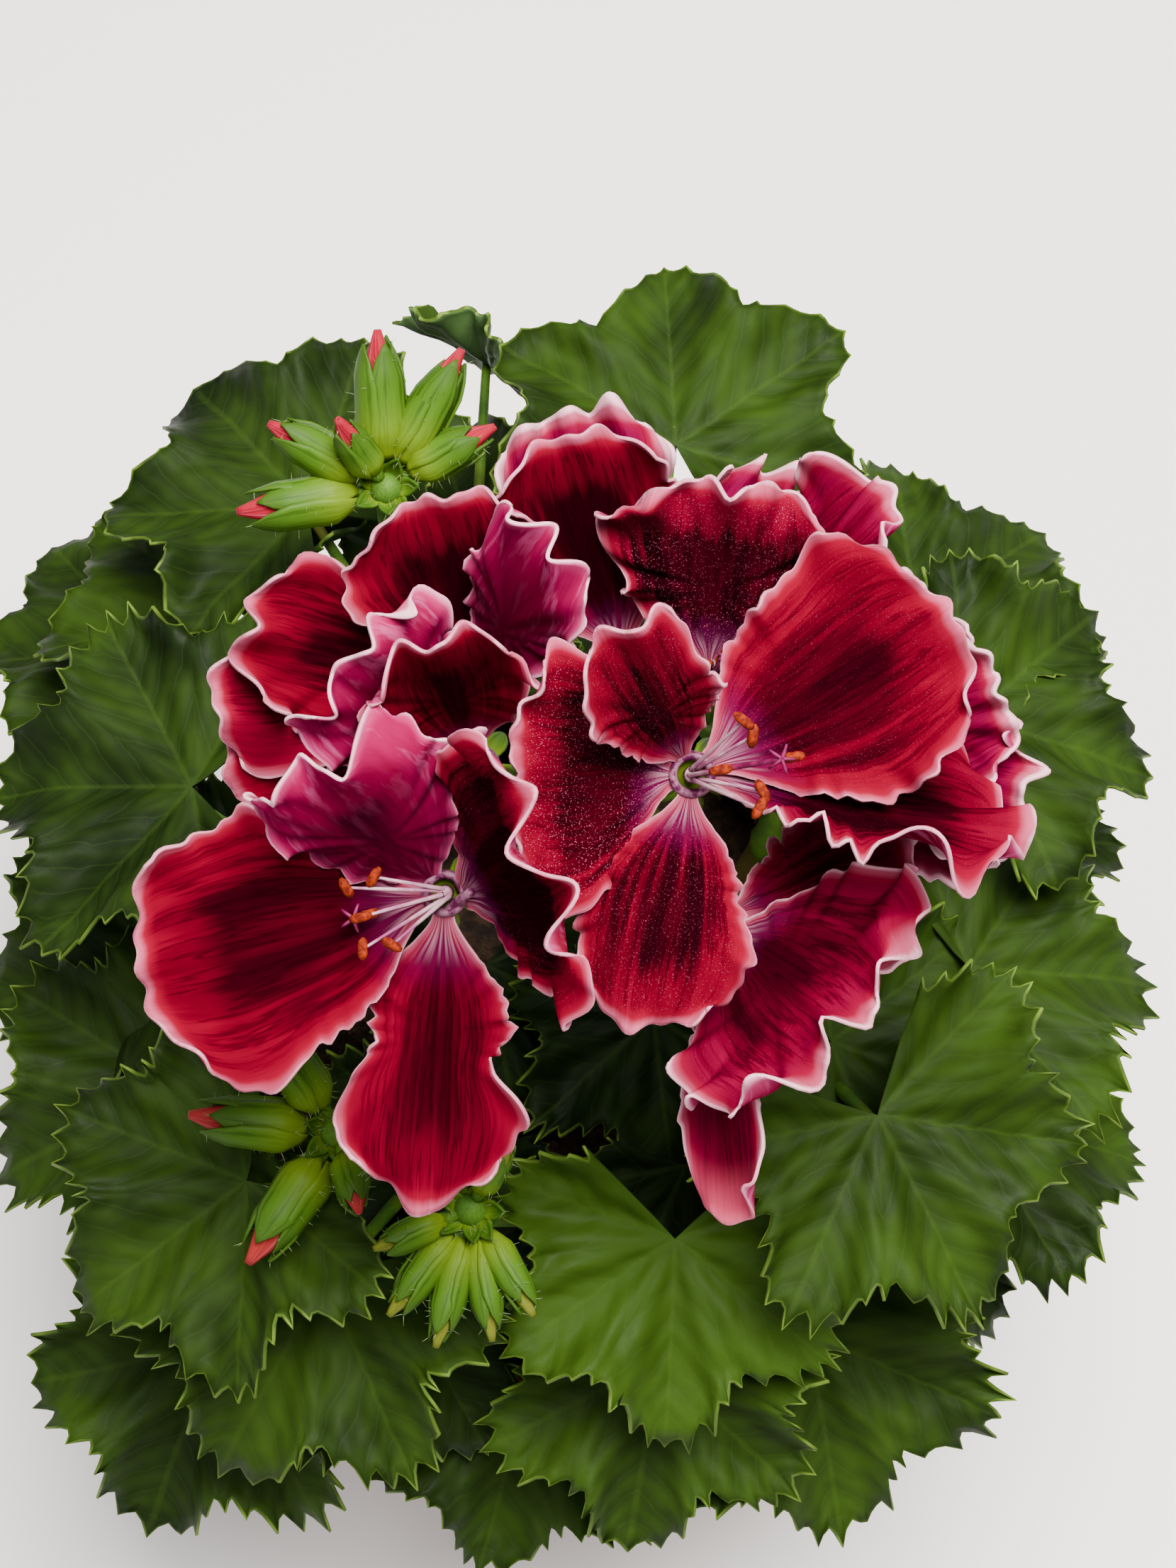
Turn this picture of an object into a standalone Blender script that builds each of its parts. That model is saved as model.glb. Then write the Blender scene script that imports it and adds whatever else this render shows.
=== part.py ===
"""A regal pelargonium in a plain clay pot, with its flower head in bloom and three heads of buds.

Lengths are in millimetres, and a mesh takes them in metres. The pot stands on the XY plane with its middle on
the Z axis, and the flower head leans towards -Y.
"""

from collections import namedtuple
from math import cos, pi, radians, sin

import bmesh
import bpy
import numpy as np
from mathutils import Matrix, Vector

MM = 0.001
GAP = 0.3
COLLECTION = "pelargonium"

# Pot and soil
POT_HEIGHT = 100
POT_TOP_RADIUS = 60
POT_BASE_RADIUS = 42
POT_WALL = 4
POT_FLOOR = 5
POT_SIDES = 32
COLLAR_HEIGHT = 24
COLLAR_STEP = 3
DRAINS = 3
DRAIN_RADIUS = 4
DRAIN_REACH = 22
SOIL_EDGE = 86
SOIL_MIDDLE = 90
SOIL_CROWN = 0.6
DRILL_REACH = 50

# Stems and stalks
STEM_RADIUS = 3.0
STEM_TIP_SHARE = 0.75
STEM_FOOT = 62
PETIOLE_RADIUS = 1.1
PETIOLE_TIP = 0.65
PETIOLE_SINK = 0.3
PETIOLE_REACH = 0.12
PETIOLE_BEND = Vector((0.65, 0.65, 0.7))
PEDUNCLE_RADIUS = 2.0
PEDICEL_RADIUS = 1.0
HUB_RADIUS = 3.2

# Leaf blades. The reach to the rim, its shortening behind the petiole, the depth of the lobes, the cup and
# the pleats are shares of the leaf's size. A greater breadth makes rounder lobes with sharper notches
LEAF_THICKNESS = 0.8
LEAF_COLUMNS = 25
LEAF_ROWS = 1
LEAF_SPREAD = 135
LEAF_LOBES = 5
LEAF_REACH = 0.56
LEAF_SHORTENING = 0.22
LOBE_DEPTH = 0.14
LOBE_BREADTH = 2.8
LEAF_CUP = 0.15
LEAF_WAVE = 2.0
LEAF_PLEAT = 0.05
LEAF_ARCH = 20

# The frame of the flower head: X to the right, Y up its face, Z out of it
HEAD_CENTRE = (0, -10, 196)
HEAD_LEAN = 22
HEAD_FRAME = Matrix.Translation(HEAD_CENTRE) @ Matrix.Rotation(radians(HEAD_LEAN), 4, "X")
UMBEL_CENTRE = Vector((4, 0, -36))

# Throat of a bloom: a ring that holds the petals, the column of the stamens in it, and the calyx below
THROAT_RADIUS = 2.9
THROAT_BORE = 1.4
THROAT_DEPTH = 2.6
THROAT_SIDES = 8
CLAW_START = 1.9
CLAW_RADIUS = 0.8
COLUMN_RADIUS = 1.0
COLUMN_RISE = 1.5
FILAMENT_RADIUS = 0.4
FILAMENT_SPREAD = 0.5
ANTHER_LENGTH = 2.4
ANTHER_RADIUS = 0.7
CALYX_LENGTH = 7
CALYX_RADIUS = 2.3
CALYX_SINK = 0.6
SEPALS = 5
SEPAL_LENGTH = 7
SEPAL_DROOP = 50
SEPAL_TURN = 56
SEPAL_REACH = 1.4
SEPAL_DEPTH = 1.6
SEPAL_RADII = (0.9, 0.4)

# Petals: half-width along the length, as shares of both, and how far the corners of the tip are drawn back
PETAL_THICKNESS = 0.7
PETAL_COLUMNS = 4
PETAL_ROWS = 4
PETAL_OUTLINE = ((0, 0.08), (0.08, 0.18), (0.16, 0.42), (0.27, 0.68), (0.42, 0.87), (0.60, 0.97), (0.76, 1.0),
                 (0.88, 0.97), (0.95, 0.88), (1, 0.72))
ROUNDING = 0.12
SPINE_STEPS = 60

# Heads of buds: radius of a bud along its length, as shares of both, and how far from the middle it starts
BUD_OUTLINE = ((0, 0.35), (0.22, 1.0), (0.68, 0.75), (1, 0.12))
BUD_START = 4.5
BUD_STALK_RADIUS = 1.5
BUD_HUB_RADIUS = 2.4
BUD_PEDICEL_RADIUS = 0.8

Petal = namedtuple(
    "Petal",
    "heading rise length width curl fold frill waves phase roll lip start",
    defaults=(0, 0, (0, 0, 0)),
)
Leaf = namedtuple("Leaf", "seat azimuth droop size node roll", defaults=(0,))
Bud = namedtuple("Bud", "heading rise length radius")

# Each bloom: its throat in the head's frame, its petals, and its stamens' heading, rise, length and number
BLOOMS = {
    "bloom_1": ((-16, -9.7, 2), (
        Petal(195, 8, 33.5, 30, 22, (12, 18), 1.4, 2.0, 0.3, lip=-10),
        Petal(266, -4, 34, 22, 10, (-15, -20), 1.8, 1.6, 1.0, lip=-20),
        Petal(28, 70, 30, 33, 26, (-10, 20), 1.8, 2.4, 2.0, start=(0.2, -1.2, 0)),
        Petal(135, 46, 25, 25, 0, (60, 25), 1.8, 2.2, 0.6, roll=150),
    ), (195, -2, 11, 6)),
    "bloom_2": ((11.6, 3.6, 5), (
        Petal(32, 4, 32, 29, 10, (12, 15), 1.5, 2.6, 0.0, roll=-8),
        Petal(-10, 0, 36, 27, 0, (10, 20), 2.2, 2.6, 1.4, roll=-62),
        Petal(259, 5, 27, 20, -20, (-20, -20), 1.5, 1.8, 0.5, lip=-10),
        Petal(120, 54, 27, 15, -20, (25, 20), 1.5, 1.5, 0.6),
        Petal(182, 30, 21, 31, 20, (10, 10), 1.6, 2.6, 0.9, roll=-14, lip=-10),
    ), (10, 40, 13, 6)),
    "bloom_3": ((14, 14.5, -11), (
        Petal(86, 40, 25, 27, 15, (-10, 5), 2.4, 2.4, 0.2, lip=-20),
        Petal(47, 16, 29, 22, 0, (30, 10), 2.2, 2.2, 1.2, roll=-55),
        Petal(69, -5, 25, 19, 10, (10, 10), 2.0, 3.4, 0.8, roll=20, lip=-30),
    ), (60, 50, 5, 3)),
    "bloom_4": ((27.6, 5.6, -13), (
        Petal(22, 18, 21, 22, 20, (10, 10), 2.4, 2.4, 0.0),
        Petal(-10, 8, 23, 18, 30, (10, 10), 2.2, 2.6, 1.6, lip=30),
        Petal(62, -6, 22, 18, 0, (10, 10), 1.4, 1.8, 0.9),
        Petal(-22, -11, 23, 18, 0, (10, 10), 1.4, 1.8, 0.6),
    ), (60, 50, 4, 3)),
    "bloom_5": ((4.5, 16, -16), (
        Petal(106, 34, 30, 24, 20, (25, 20), 1.2, 2.0, 0.4, lip=-10),
        Petal(104, 28, 31, 22, 20, (25, 25), 1.8, 3.4, 1.1, lip=-50),
    ), (90, 60, 5, 3)),
    "bloom_6": ((-11.8, 13.6, -10.5), (
        Petal(106, 38, 25, 24, 20, (25, 25), 1.2, 2.0, 0.4, lip=-10),
        Petal(166, 18, 28, 20, 30, (15, 15), 1.8, 2.2, 1.3),
        Petal(183, 10, 30, 18, 10, (-15, -15), 1.4, 1.6, 2.0),
        Petal(199, 0, 30, 15, 0, (-20, -20), 1.2, 1.4, 0.2),
        Petal(65, 60, 31, 17, 20, (20, 20), 1.6, 2.2, 0.8, roll=155),
    ), (120, 60, 4, 3)),
    "bloom_7": ((14.5, -13.4, -7), (
        Petal(-38, 42, 22, 36, 20, (5, 20), 2.4, 2.8, 0.4),
        Petal(24, -2, 23, 15, 0, (15, 15), 1.8, 2.4, 0.6, roll=-30),
        Petal(3, -26, 23, 16, 0, (10, 10), 1.4, 1.8, 0.9, roll=-20),
        Petal(-86, 0, 33, 14, 0, (20, 20), 1.0, 1.2, 0.0, roll=55),
    ), (60, 60, 4, 3)),
    "bloom_8": ((-12.5, 4.4, -2), (
        Petal(138, 52, 25, 22, -20, (20, 20), 1.8, 2.4, 0.0, roll=180),
        Petal(106, 60, 25, 20, 10, (25, 40), 1.4, 2.2, 1.1),
    ), (-60, 50, 4, 3)),
}

# Each shoot: the points of its stem, then its leaves. A leaf's node is a share of the way up the stem
SHOOTS = {
    "shoot_1": (((-8, 14, STEM_FOOT), (-14, 24, 96), (-24, 40, 128)), (
        Leaf((-13, 83, 133), 140, 5, 26, 0.7, roll=70),
        Leaf((-39, 57.5, 140), 128, 8, 46, 0.8),
        Leaf((-52, 49, 128), 140, 15, 44, 0.8),
        Leaf((-16, 58, 120), 98, 5, 38, 0.7),
        Leaf((-23, 36, 116), 120, 5, 40, 0.75),
        Leaf((-65, 50, 112), 128, 20, 46, 0.6),
    )),
    "shoot_2": (((-15, -1, STEM_FOOT), (-24, 0, 94), (-34, 4, 128)), (
        Leaf((-52, 13, 145), 172, 12, 46, 0.95),
        Leaf((-48, 9, 109), 185, 10, 44, 0.6),
        Leaf((-60, -1, 120), 190, 20, 42, 0.75),
        Leaf((-56, -21, 121), 200, 15, 44, 0.85),
        Leaf((-14, -3, 119), 280, 5, 31, 0.6),
    )),
    "shoot_3": (((-9, -13, STEM_FOOT), (-16, -22, 92), (-24, -33, 122)), (
        Leaf((-43, -39, 141), 212, 15, 43, 0.9),
        Leaf((-50, -53, 107.5), 245, 25, 44, 0.7),
        Leaf((-34, -49, 130), 240, 20, 45, 0.85),
        Leaf((-26, -46, 118), 300, 20, 42, 0.8),
        Leaf((-8.5, -59, 105), 256, 25, 40, 0.7),
        Leaf((-21, -29, 110), 240, 10, 38, 0.75),
    )),
    "shoot_4": (((4, -15, STEM_FOOT), (4, -25, 92), (3, -37, 121)), (
        Leaf((11, -46, 139), 268, 20, 41, 0.65),
        Leaf((9, -58, 122), 262, 25, 40, 0.85),
        Leaf((29, -53, 116), 282, 25, 45, 0.75),
        Leaf((9, -11, 121), 275, 5, 36, 0.6),
        Leaf((13, -33, 126), 300, 8, 28, 0.9),
    )),
    "shoot_5": (((15, -7, STEM_FOOT), (23, -12, 94), (32, -20, 126)), (
        Leaf((36, -33, 150), 300, 18, 44, 0.95),
        Leaf((32, -18, 132), 345, 10, 42, 0.9),
        Leaf((51, -7, 130), 2, 15, 44, 0.85),
        Leaf((54, -22, 112), 350, 20, 42, 0.75),
        Leaf((42, -37, 104), 325, 25, 34, 0.7),
    )),
    "shoot_6": (((13, 9, STEM_FOOT), (22, 16, 94), (34, 28, 126)), (
        Leaf((53, 20, 110), 5, 15, 42, 0.75),
        Leaf((52, 26, 138), 350, 12, 42, 0.95),
        Leaf((46, 43, 134), 42, 10, 42, 0.9),
        Leaf((38, 56, 120), 62, 5, 28, 0.8),
        Leaf((32, 14, 114), 350, 5, 34, 0.7),
    )),
    "shoot_7": (((1, 2, STEM_FOOT), (3, 8, 94), (4, 5, 124)), (
        Leaf((12, 61.5, 149), 92, -2, 46, 0.95),
        Leaf((14, 40, 107), 75, 0, 38, 0.7),
    )),
}

# Each head of buds: its shoot, the bend and the centre of its peduncle, and its buds in the head's own frame
BUD_HEADS = {
    "bud_head_1": ("shoot_1", (-26, 42, 150), (-26, 46, 166), (
        Bud(92, 18, 16, 3.4), Bud(60, 14, 16, 3.2), Bud(190, 12, 15, 3.4), Bud(152, 20, 13, 3.0),
        Bud(28, 14, 12, 2.8), Bud(125, 50, 10, 2.4),
    )),
    "bud_head_2": ("shoot_3", (-31, -34, 136), (-31, -35, 150), (
        Bud(172, 14, 14, 3.4), Bud(236, 12, 15, 3.6), Bud(120, 20, 11, 3.0), Bud(290, 40, 8, 2.2),
    )),
    "bud_head_3": ("shoot_4", (-13, -41, 126), (-14.5, -44, 147), (
        Bud(232, 12, 12, 2.2), Bud(256, 10, 13, 2.2), Bud(280, 12, 12, 2.0), Bud(302, 16, 11, 2.0),
        Bud(200, 24, 9, 1.8), Bud(60, 40, 9, 1.8),
    )),
}


def clear_scene():
    for thing in list(bpy.data.objects):
        bpy.data.objects.remove(thing)


def linked(thing):
    """Puts the object in the plant's collection and in no other."""
    if COLLECTION not in bpy.data.collections:
        bpy.context.scene.collection.children.link(bpy.data.collections.new(COLLECTION))
    for collection in thing.users_collection:
        collection.objects.unlink(thing)
    bpy.data.collections[COLLECTION].objects.link(thing)
    return thing


def material(name, colour, roughness):
    """A plain Principled material, made once."""
    if name in bpy.data.materials:
        return bpy.data.materials[name]
    made = bpy.data.materials.new(name)
    made.use_nodes = True
    shader = made.node_tree.nodes["Principled BSDF"]
    shader.inputs["Base Color"].default_value = (*colour, 1)
    shader.inputs["Roughness"].default_value = roughness
    shader.inputs["Metallic"].default_value = 0
    made.diffuse_color = (*colour, 1)
    return made


def finished(thing, name, finish, sharp=40):
    """Names a piece, gives it its one material and shades its round faces smooth."""
    thing.name = thing.data.name = name
    thing.data.materials.clear()
    thing.data.materials.append(finish)
    thing.data.shade_smooth()
    thing.data.set_sharp_from_angle(angle=radians(sharp))
    return thing


def applied(thing):
    """Replaces the object's mesh by what its modifiers give, and drops them."""
    graph = bpy.context.evaluated_depsgraph_get()
    mesh = bpy.data.meshes.new_from_object(thing.evaluated_get(graph))
    thing.modifiers.clear()
    thing.data = mesh
    return thing


def outward(thing):
    """Welds the points that meet and turns every face outwards."""
    builder = bmesh.new()
    builder.from_mesh(thing.data)
    bmesh.ops.remove_doubles(builder, verts=builder.verts, dist=0.001 * MM)
    bmesh.ops.recalc_face_normals(builder, faces=builder.faces)
    builder.to_mesh(thing.data)
    builder.free()
    return thing


def fused(pieces):
    """Joins pieces that overlap in one solid, by a union of the first with the collection of the others."""
    body, others = pieces[0], pieces[1:]
    group = bpy.data.collections.new("pieces")
    bpy.context.scene.collection.children.link(group)
    for piece in others:
        bpy.data.collections[COLLECTION].objects.unlink(piece)
        group.objects.link(piece)
    union = body.modifiers.new("Union", "BOOLEAN")
    union.operation = "UNION"
    union.operand_type = "COLLECTION"
    union.collection = group
    union.solver = "MANIFOLD"
    applied(body)
    for piece in others:
        bpy.data.objects.remove(piece)
    bpy.data.collections.remove(group)
    return body


def drilled(thing, drill):
    """Cuts the drill out of the thing, and removes the drill."""
    hole = thing.modifiers.new("Hole", "BOOLEAN")
    hole.operation = "DIFFERENCE"
    hole.object = drill
    hole.solver = "MANIFOLD"
    applied(thing)
    bpy.data.objects.remove(drill)


def turned(profile, sides):
    """A closed profile of (radius, height) points turned about the Z axis."""
    mesh = bpy.data.meshes.new("profile")
    builder = bmesh.new()
    ring = [builder.verts.new(Vector((radius, 0, height)) * MM) for radius, height in profile]
    for first, second in zip(ring, ring[1:] + ring[:1]):
        builder.edges.new((first, second))
    builder.to_mesh(mesh)
    builder.free()
    thing = linked(bpy.data.objects.new("turned", mesh))
    screw = thing.modifiers.new("Screw", "SCREW")
    screw.steps = screw.render_steps = sides
    screw.use_merge_vertices = True
    screw.merge_threshold = 0.01 * MM
    return outward(applied(thing))


def spindle(stations, resolution=1):
    """A solid of round sections, each a place and a radius."""
    curve = bpy.data.curves.new("spindle", "CURVE")
    curve.dimensions = "3D"
    curve.bevel_depth = MM
    curve.bevel_resolution = resolution
    curve.use_fill_caps = True
    spline = curve.splines.new("POLY")
    spline.points.add(len(stations) - 1)
    for knot, (place, radius) in zip(spline.points, stations):
        knot.co = (*(Vector(place) * MM), 1)
        knot.radius = radius
    guide = linked(bpy.data.objects.new("guide", curve))
    graph = bpy.context.evaluated_depsgraph_get()
    mesh = bpy.data.meshes.new_from_object(guide.evaluated_get(graph))
    bpy.data.objects.remove(guide)
    return outward(linked(bpy.data.objects.new("spindle", mesh)))


def tube(points, radius, end_radius=None, resolution=1):
    """A solid stalk along the points. It tapers to end_radius."""
    end_radius = radius if end_radius is None else end_radius
    last = len(points) - 1
    stations = [(place, radius + (end_radius - radius) * index / last) for index, place in enumerate(points)]
    return spindle(stations, resolution)


def rod(frame, start, end, radius, end_radius=None):
    """A straight four-sided stalk between two places of a frame."""
    return tube([frame @ start, frame @ end], radius, end_radius, resolution=0)


def bent(start, control, end, pieces):
    """Points along a quadratic curve."""
    start, control, end = Vector(start), Vector(control), Vector(end)
    shares = [step / pieces for step in range(pieces + 1)]
    return [start * (1 - u) ** 2 + control * 2 * u * (1 - u) + end * u**2 for u in shares]


def along(points, share):
    """The place at a share of a list of points."""
    place = share * (len(points) - 1)
    index = min(int(place), len(points) - 2)
    return Vector(points[index]).lerp(Vector(points[index + 1]), place - index)


def ball(centre, radius):
    """A small round hub."""
    bpy.ops.mesh.primitive_uv_sphere_add(segments=6, ring_count=4, radius=radius * MM)
    thing = linked(bpy.context.object)
    thing.data.transform(Matrix.Translation(centre * MM))
    return thing


def direction(heading, rise):
    """A unit vector by its heading from X towards Y and its rise, in degrees."""
    level = Vector((cos(radians(heading)), sin(radians(heading)), 0))
    return level * cos(radians(rise)) + Vector((0, 0, sin(radians(rise))))


def sheet(columns, rows, place, thickness, frame=Matrix()):
    """A solid blade: a grid moved by the formula place(s, t), with s from -1 to 1 and t from 0 to 1."""
    bpy.ops.mesh.primitive_grid_add(x_subdivisions=columns, y_subdivisions=rows, size=2)
    thing = linked(bpy.context.object)
    flat = np.array([vertex.co[:2] for vertex in thing.data.vertices], float)
    points = place(flat[:, 0], (flat[:, 1] + 1) / 2)
    for vertex, point in zip(thing.data.vertices, points):
        vertex.co = (frame @ Vector(point)) * MM
    builder = bmesh.new()
    builder.from_mesh(thing.data)
    bmesh.ops.remove_doubles(builder, verts=builder.verts, dist=0.01 * MM)
    bmesh.ops.triangulate(builder, faces=builder.faces)
    builder.to_mesh(thing.data)
    builder.free()
    wall = thing.modifiers.new("Thickness", "SOLIDIFY")
    wall.thickness = thickness * MM
    wall.offset = 0
    return outward(applied(thing))


def blade_axes(ahead, level, roll):
    """The ways along, across and out of a blade that is rolled about its length, as arrays."""
    face = level * cos(radians(roll)) + ahead.cross(level) * sin(radians(roll))
    return np.array(ahead), np.array(ahead.cross(face)), np.array(face)


def petal_place(petal):
    """The formula of a petal's middle surface, from its throat, in the head's frame."""
    ahead, side, face = blade_axes(
        direction(petal.heading, petal.rise), direction(petal.heading, petal.rise + 90), petal.roll
    )
    start = np.array(petal.start) + np.array(direction(petal.heading, 0)) * CLAW_START
    shares = np.linspace(0, 1, SPINE_STEPS + 1)
    tip_turn = radians(petal.lip) * np.clip((shares - 0.6) / 0.4, 0, 1) ** 2
    slope = radians(petal.curl) * (shares - 0.5) + tip_turn
    middle = (slope[1:] + slope[:-1]) / 2
    far = np.concatenate([[0], np.cumsum(np.cos(middle))]) / SPINE_STEPS
    high = np.concatenate([[0], np.cumsum(np.sin(middle))]) / SPINE_STEPS
    outline_share, outline_width = np.array(PETAL_OUTLINE).T

    def place(s, t):
        half = np.interp(t, outline_share, outline_width) * petal.width / 2
        turn = np.interp(t, shares, slope)[:, None]
        tangent = ahead * np.cos(turn) + face * np.sin(turn)
        normal = face * np.cos(turn) - ahead * np.sin(turn)
        fold = np.radians(np.where(s > 0, petal.fold[1], petal.fold[0])) * np.minimum(1, t * 2.2)
        fold = np.where(np.abs(fold) < 1e-4, 1e-4, fold)
        across = np.sin(fold * s) / fold * half
        margin = np.sin(2 * pi * petal.waves * t + petal.phase + 1.7 * (s > 0)) * np.minimum(1, 1.6 * t)
        tip = t**5 * np.sin(pi * petal.waves * s + 1.3 * petal.phase)
        lift = (1 - np.cos(fold * s)) / fold * half + petal.frill * (np.abs(s) ** 3 * margin + tip)
        back = -ROUNDING * petal.length * s**2 * t**2
        spine = ahead * np.interp(t, shares, far)[:, None] + face * np.interp(t, shares, high)[:, None]
        points = start + spine * petal.length + tangent * back[:, None]
        return points + side * across[:, None] + normal * lift[:, None]

    return place


def leaf_place(leaf):
    """The formula of a leaf's middle surface, in the world. t goes from the petiole to the rim."""
    ahead, side, face = blade_axes(
        direction(leaf.azimuth, -leaf.droop), direction(leaf.azimuth, 90 - leaf.droop), leaf.roll
    )

    def place(s, t):
        angle = radians(LEAF_SPREAD) * s
        lobes = 1 - 2 * np.abs(np.sin(angle * pi / radians(2 * LEAF_SPREAD / LEAF_LOBES))) ** LOBE_BREADTH
        shortening = LEAF_SHORTENING * (1 - np.cos(s * pi / 2))
        radius = LEAF_REACH * leaf.size * (1 - shortening) * t * (1 + LOBE_DEPTH * lobes * t)
        across, forward = radius * np.sin(angle), radius * np.cos(angle)
        lift = LEAF_CUP * radius * t + LEAF_WAVE * t**2 * np.sin(3 * angle)
        lift = lift - LEAF_PLEAT * leaf.size * t**2 * lobes
        lift = lift - radians(LEAF_ARCH) * forward * np.abs(forward) / leaf.size
        level = np.array(leaf.seat) + side * across[:, None] + ahead * forward[:, None]
        return level + face * lift[:, None]

    return place


def inner_radius(height):
    """Radius of the pot's inside at a height."""
    top = POT_TOP_RADIUS - COLLAR_STEP - POT_WALL / 2
    foot = POT_BASE_RADIUS - POT_WALL
    return foot + (top - foot) * (height - POT_FLOOR) / (POT_HEIGHT - POT_FLOOR)


def pot():
    """The clay pot, hollow, with a collar and three drain holes."""
    collar_foot = POT_HEIGHT - COLLAR_HEIGHT
    profile = (
        (0, 0), (POT_BASE_RADIUS, 0), (POT_TOP_RADIUS - 2 * COLLAR_STEP, collar_foot),
        (POT_TOP_RADIUS - COLLAR_STEP, collar_foot + 1), (POT_TOP_RADIUS, POT_HEIGHT - 1),
        (POT_TOP_RADIUS - 1, POT_HEIGHT), (inner_radius(POT_HEIGHT), POT_HEIGHT),
        (inner_radius(POT_FLOOR), POT_FLOOR), (0, POT_FLOOR),
    )
    thing = turned(profile, POT_SIDES)
    for index in range(DRAINS):
        foot = direction(360 * index / DRAINS + 30, 0) * DRAIN_REACH - Vector((0, 0, 1))
        drilled(thing, tube([foot, foot + Vector((0, 0, POT_FLOOR + 2))], DRAIN_RADIUS, resolution=2))
    finished(thing, "pot", material("clay", (0.42, 0.17, 0.09), 0.85))


def soil():
    """The soil, which fills the pot, with a plain hole for each stem."""
    floor = POT_FLOOR + GAP
    profile = (
        (0, floor), (inner_radius(floor) - GAP, floor), (inner_radius(SOIL_EDGE) - GAP, SOIL_EDGE),
        (inner_radius(SOIL_EDGE) * SOIL_CROWN, SOIL_MIDDLE - 1), (0, SOIL_MIDDLE),
    )
    thing = turned(profile, POT_SIDES)
    for stem, _ in SHOOTS.values():
        foot = Vector(stem[0])
        way = (Vector(stem[1]) - foot).normalized()
        corner_radius = (STEM_RADIUS + GAP) / cos(pi / 6)
        drilled(thing, tube([foot - way * GAP, foot + way * DRILL_REACH], corner_radius))
    finished(thing, "soil", material("soil", (0.035, 0.022, 0.014), 1.0))


def leafy_shoot(name, stem, leaves):
    """A stem with its leaves, each on a petiole that meets the blade from below."""
    pieces = [tube(stem, STEM_RADIUS, STEM_RADIUS * STEM_TIP_SHARE)]
    for leaf in leaves:
        node = along(stem, leaf.node)
        place = leaf_place(leaf)
        ends = place(np.array([0, 1 / LEAF_COLUMNS]), np.array([0, 1]))
        seat, rim = [Vector(end) for end in ends]
        below = direction(leaf.azimuth, 90 - leaf.droop) * cos(radians(leaf.roll)) * PETIOLE_SINK
        under = seat.lerp(rim, PETIOLE_REACH) - below
        control = node + (under - node) * PETIOLE_BEND
        pieces.append(tube(bent(node, control, under, 3), PETIOLE_RADIUS, PETIOLE_TIP, resolution=0))
        pieces.append(sheet(LEAF_COLUMNS, LEAF_ROWS, place, LEAF_THICKNESS))
    finished(fused(pieces), name, material("leaf", (0.07, 0.16, 0.035), 0.6))


def stem_tip(shoot):
    """Where a stalk that stands on the tip of a shoot starts, and its way there."""
    stem = SHOOTS[shoot][0]
    way = (Vector(stem[-1]) - Vector(stem[-2])).normalized()
    return Vector(stem[-1]) + way * GAP, way


def flower_stalk():
    """The peduncle of the flower head, and a pedicel and a calyx for each bloom."""
    foot, way = stem_tip("shoot_7")
    umbel = HEAD_FRAME @ UMBEL_CENTRE
    pieces = [tube([foot, foot + way * 4, umbel], PEDUNCLE_RADIUS), ball(umbel, HUB_RADIUS)]
    for throat, _, _ in BLOOMS.values():
        top = Vector(throat) - Vector((0, 0, THROAT_DEPTH / 2 + GAP))
        cup = top - Vector((0, 0, CALYX_LENGTH))
        control = UMBEL_CENTRE.lerp(cup, 0.8)
        control.z = (UMBEL_CENTRE.z + cup.z) / 2 - 3
        curve = [HEAD_FRAME @ place for place in bent(UMBEL_CENTRE, control, cup, 3)]
        pieces.append(tube(curve, PEDICEL_RADIUS, resolution=0))
        foot = cup - Vector((0, 0, CALYX_SINK))
        pieces.append(tube([HEAD_FRAME @ foot, HEAD_FRAME @ top], PEDICEL_RADIUS, CALYX_RADIUS))
        for index in range(SEPALS):
            turn = 360 * index / SEPALS + SEPAL_TURN
            root = top + direction(turn, 0) * SEPAL_REACH - Vector((0, 0, SEPAL_DEPTH))
            tip = root + direction(turn, -SEPAL_DROOP) * SEPAL_LENGTH
            pieces.append(rod(HEAD_FRAME, root, tip, *SEPAL_RADII))
    finished(fused(pieces), "flower_stalk", material("stalk", (0.13, 0.22, 0.05), 0.55))


def bloom(name, throat, petals):
    """The petals of a bloom, their claws sunk in the ring of the throat."""
    frame = HEAD_FRAME @ Matrix.Translation(throat)
    half = THROAT_DEPTH / 2
    profile = ((THROAT_BORE, -half), (THROAT_RADIUS, -half), (THROAT_RADIUS, half), (THROAT_BORE, half))
    ring = turned(profile, THROAT_SIDES)
    ring.data.transform(Matrix.Translation(frame.translation * MM) @ frame.to_3x3().to_4x4())
    pieces = [ring]
    for petal in petals:
        pieces.append(sheet(PETAL_COLUMNS, PETAL_ROWS, petal_place(petal), PETAL_THICKNESS, frame))
        if petal.start != (0, 0, 0):
            start = Vector(petal.start)
            near = Vector((start.x, start.y, 0)).normalized() * (THROAT_BORE + THROAT_RADIUS) / 2
            root = start + direction(petal.heading, 0) * CLAW_START
            beyond = root + direction(petal.heading, petal.rise) * CLAW_START
            pieces.append(tube([frame @ near, frame @ root, frame @ beyond], CLAW_RADIUS, resolution=0))
    finished(fused(pieces), name, material("petal", (0.36, 0.01, 0.03), 0.5))


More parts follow.
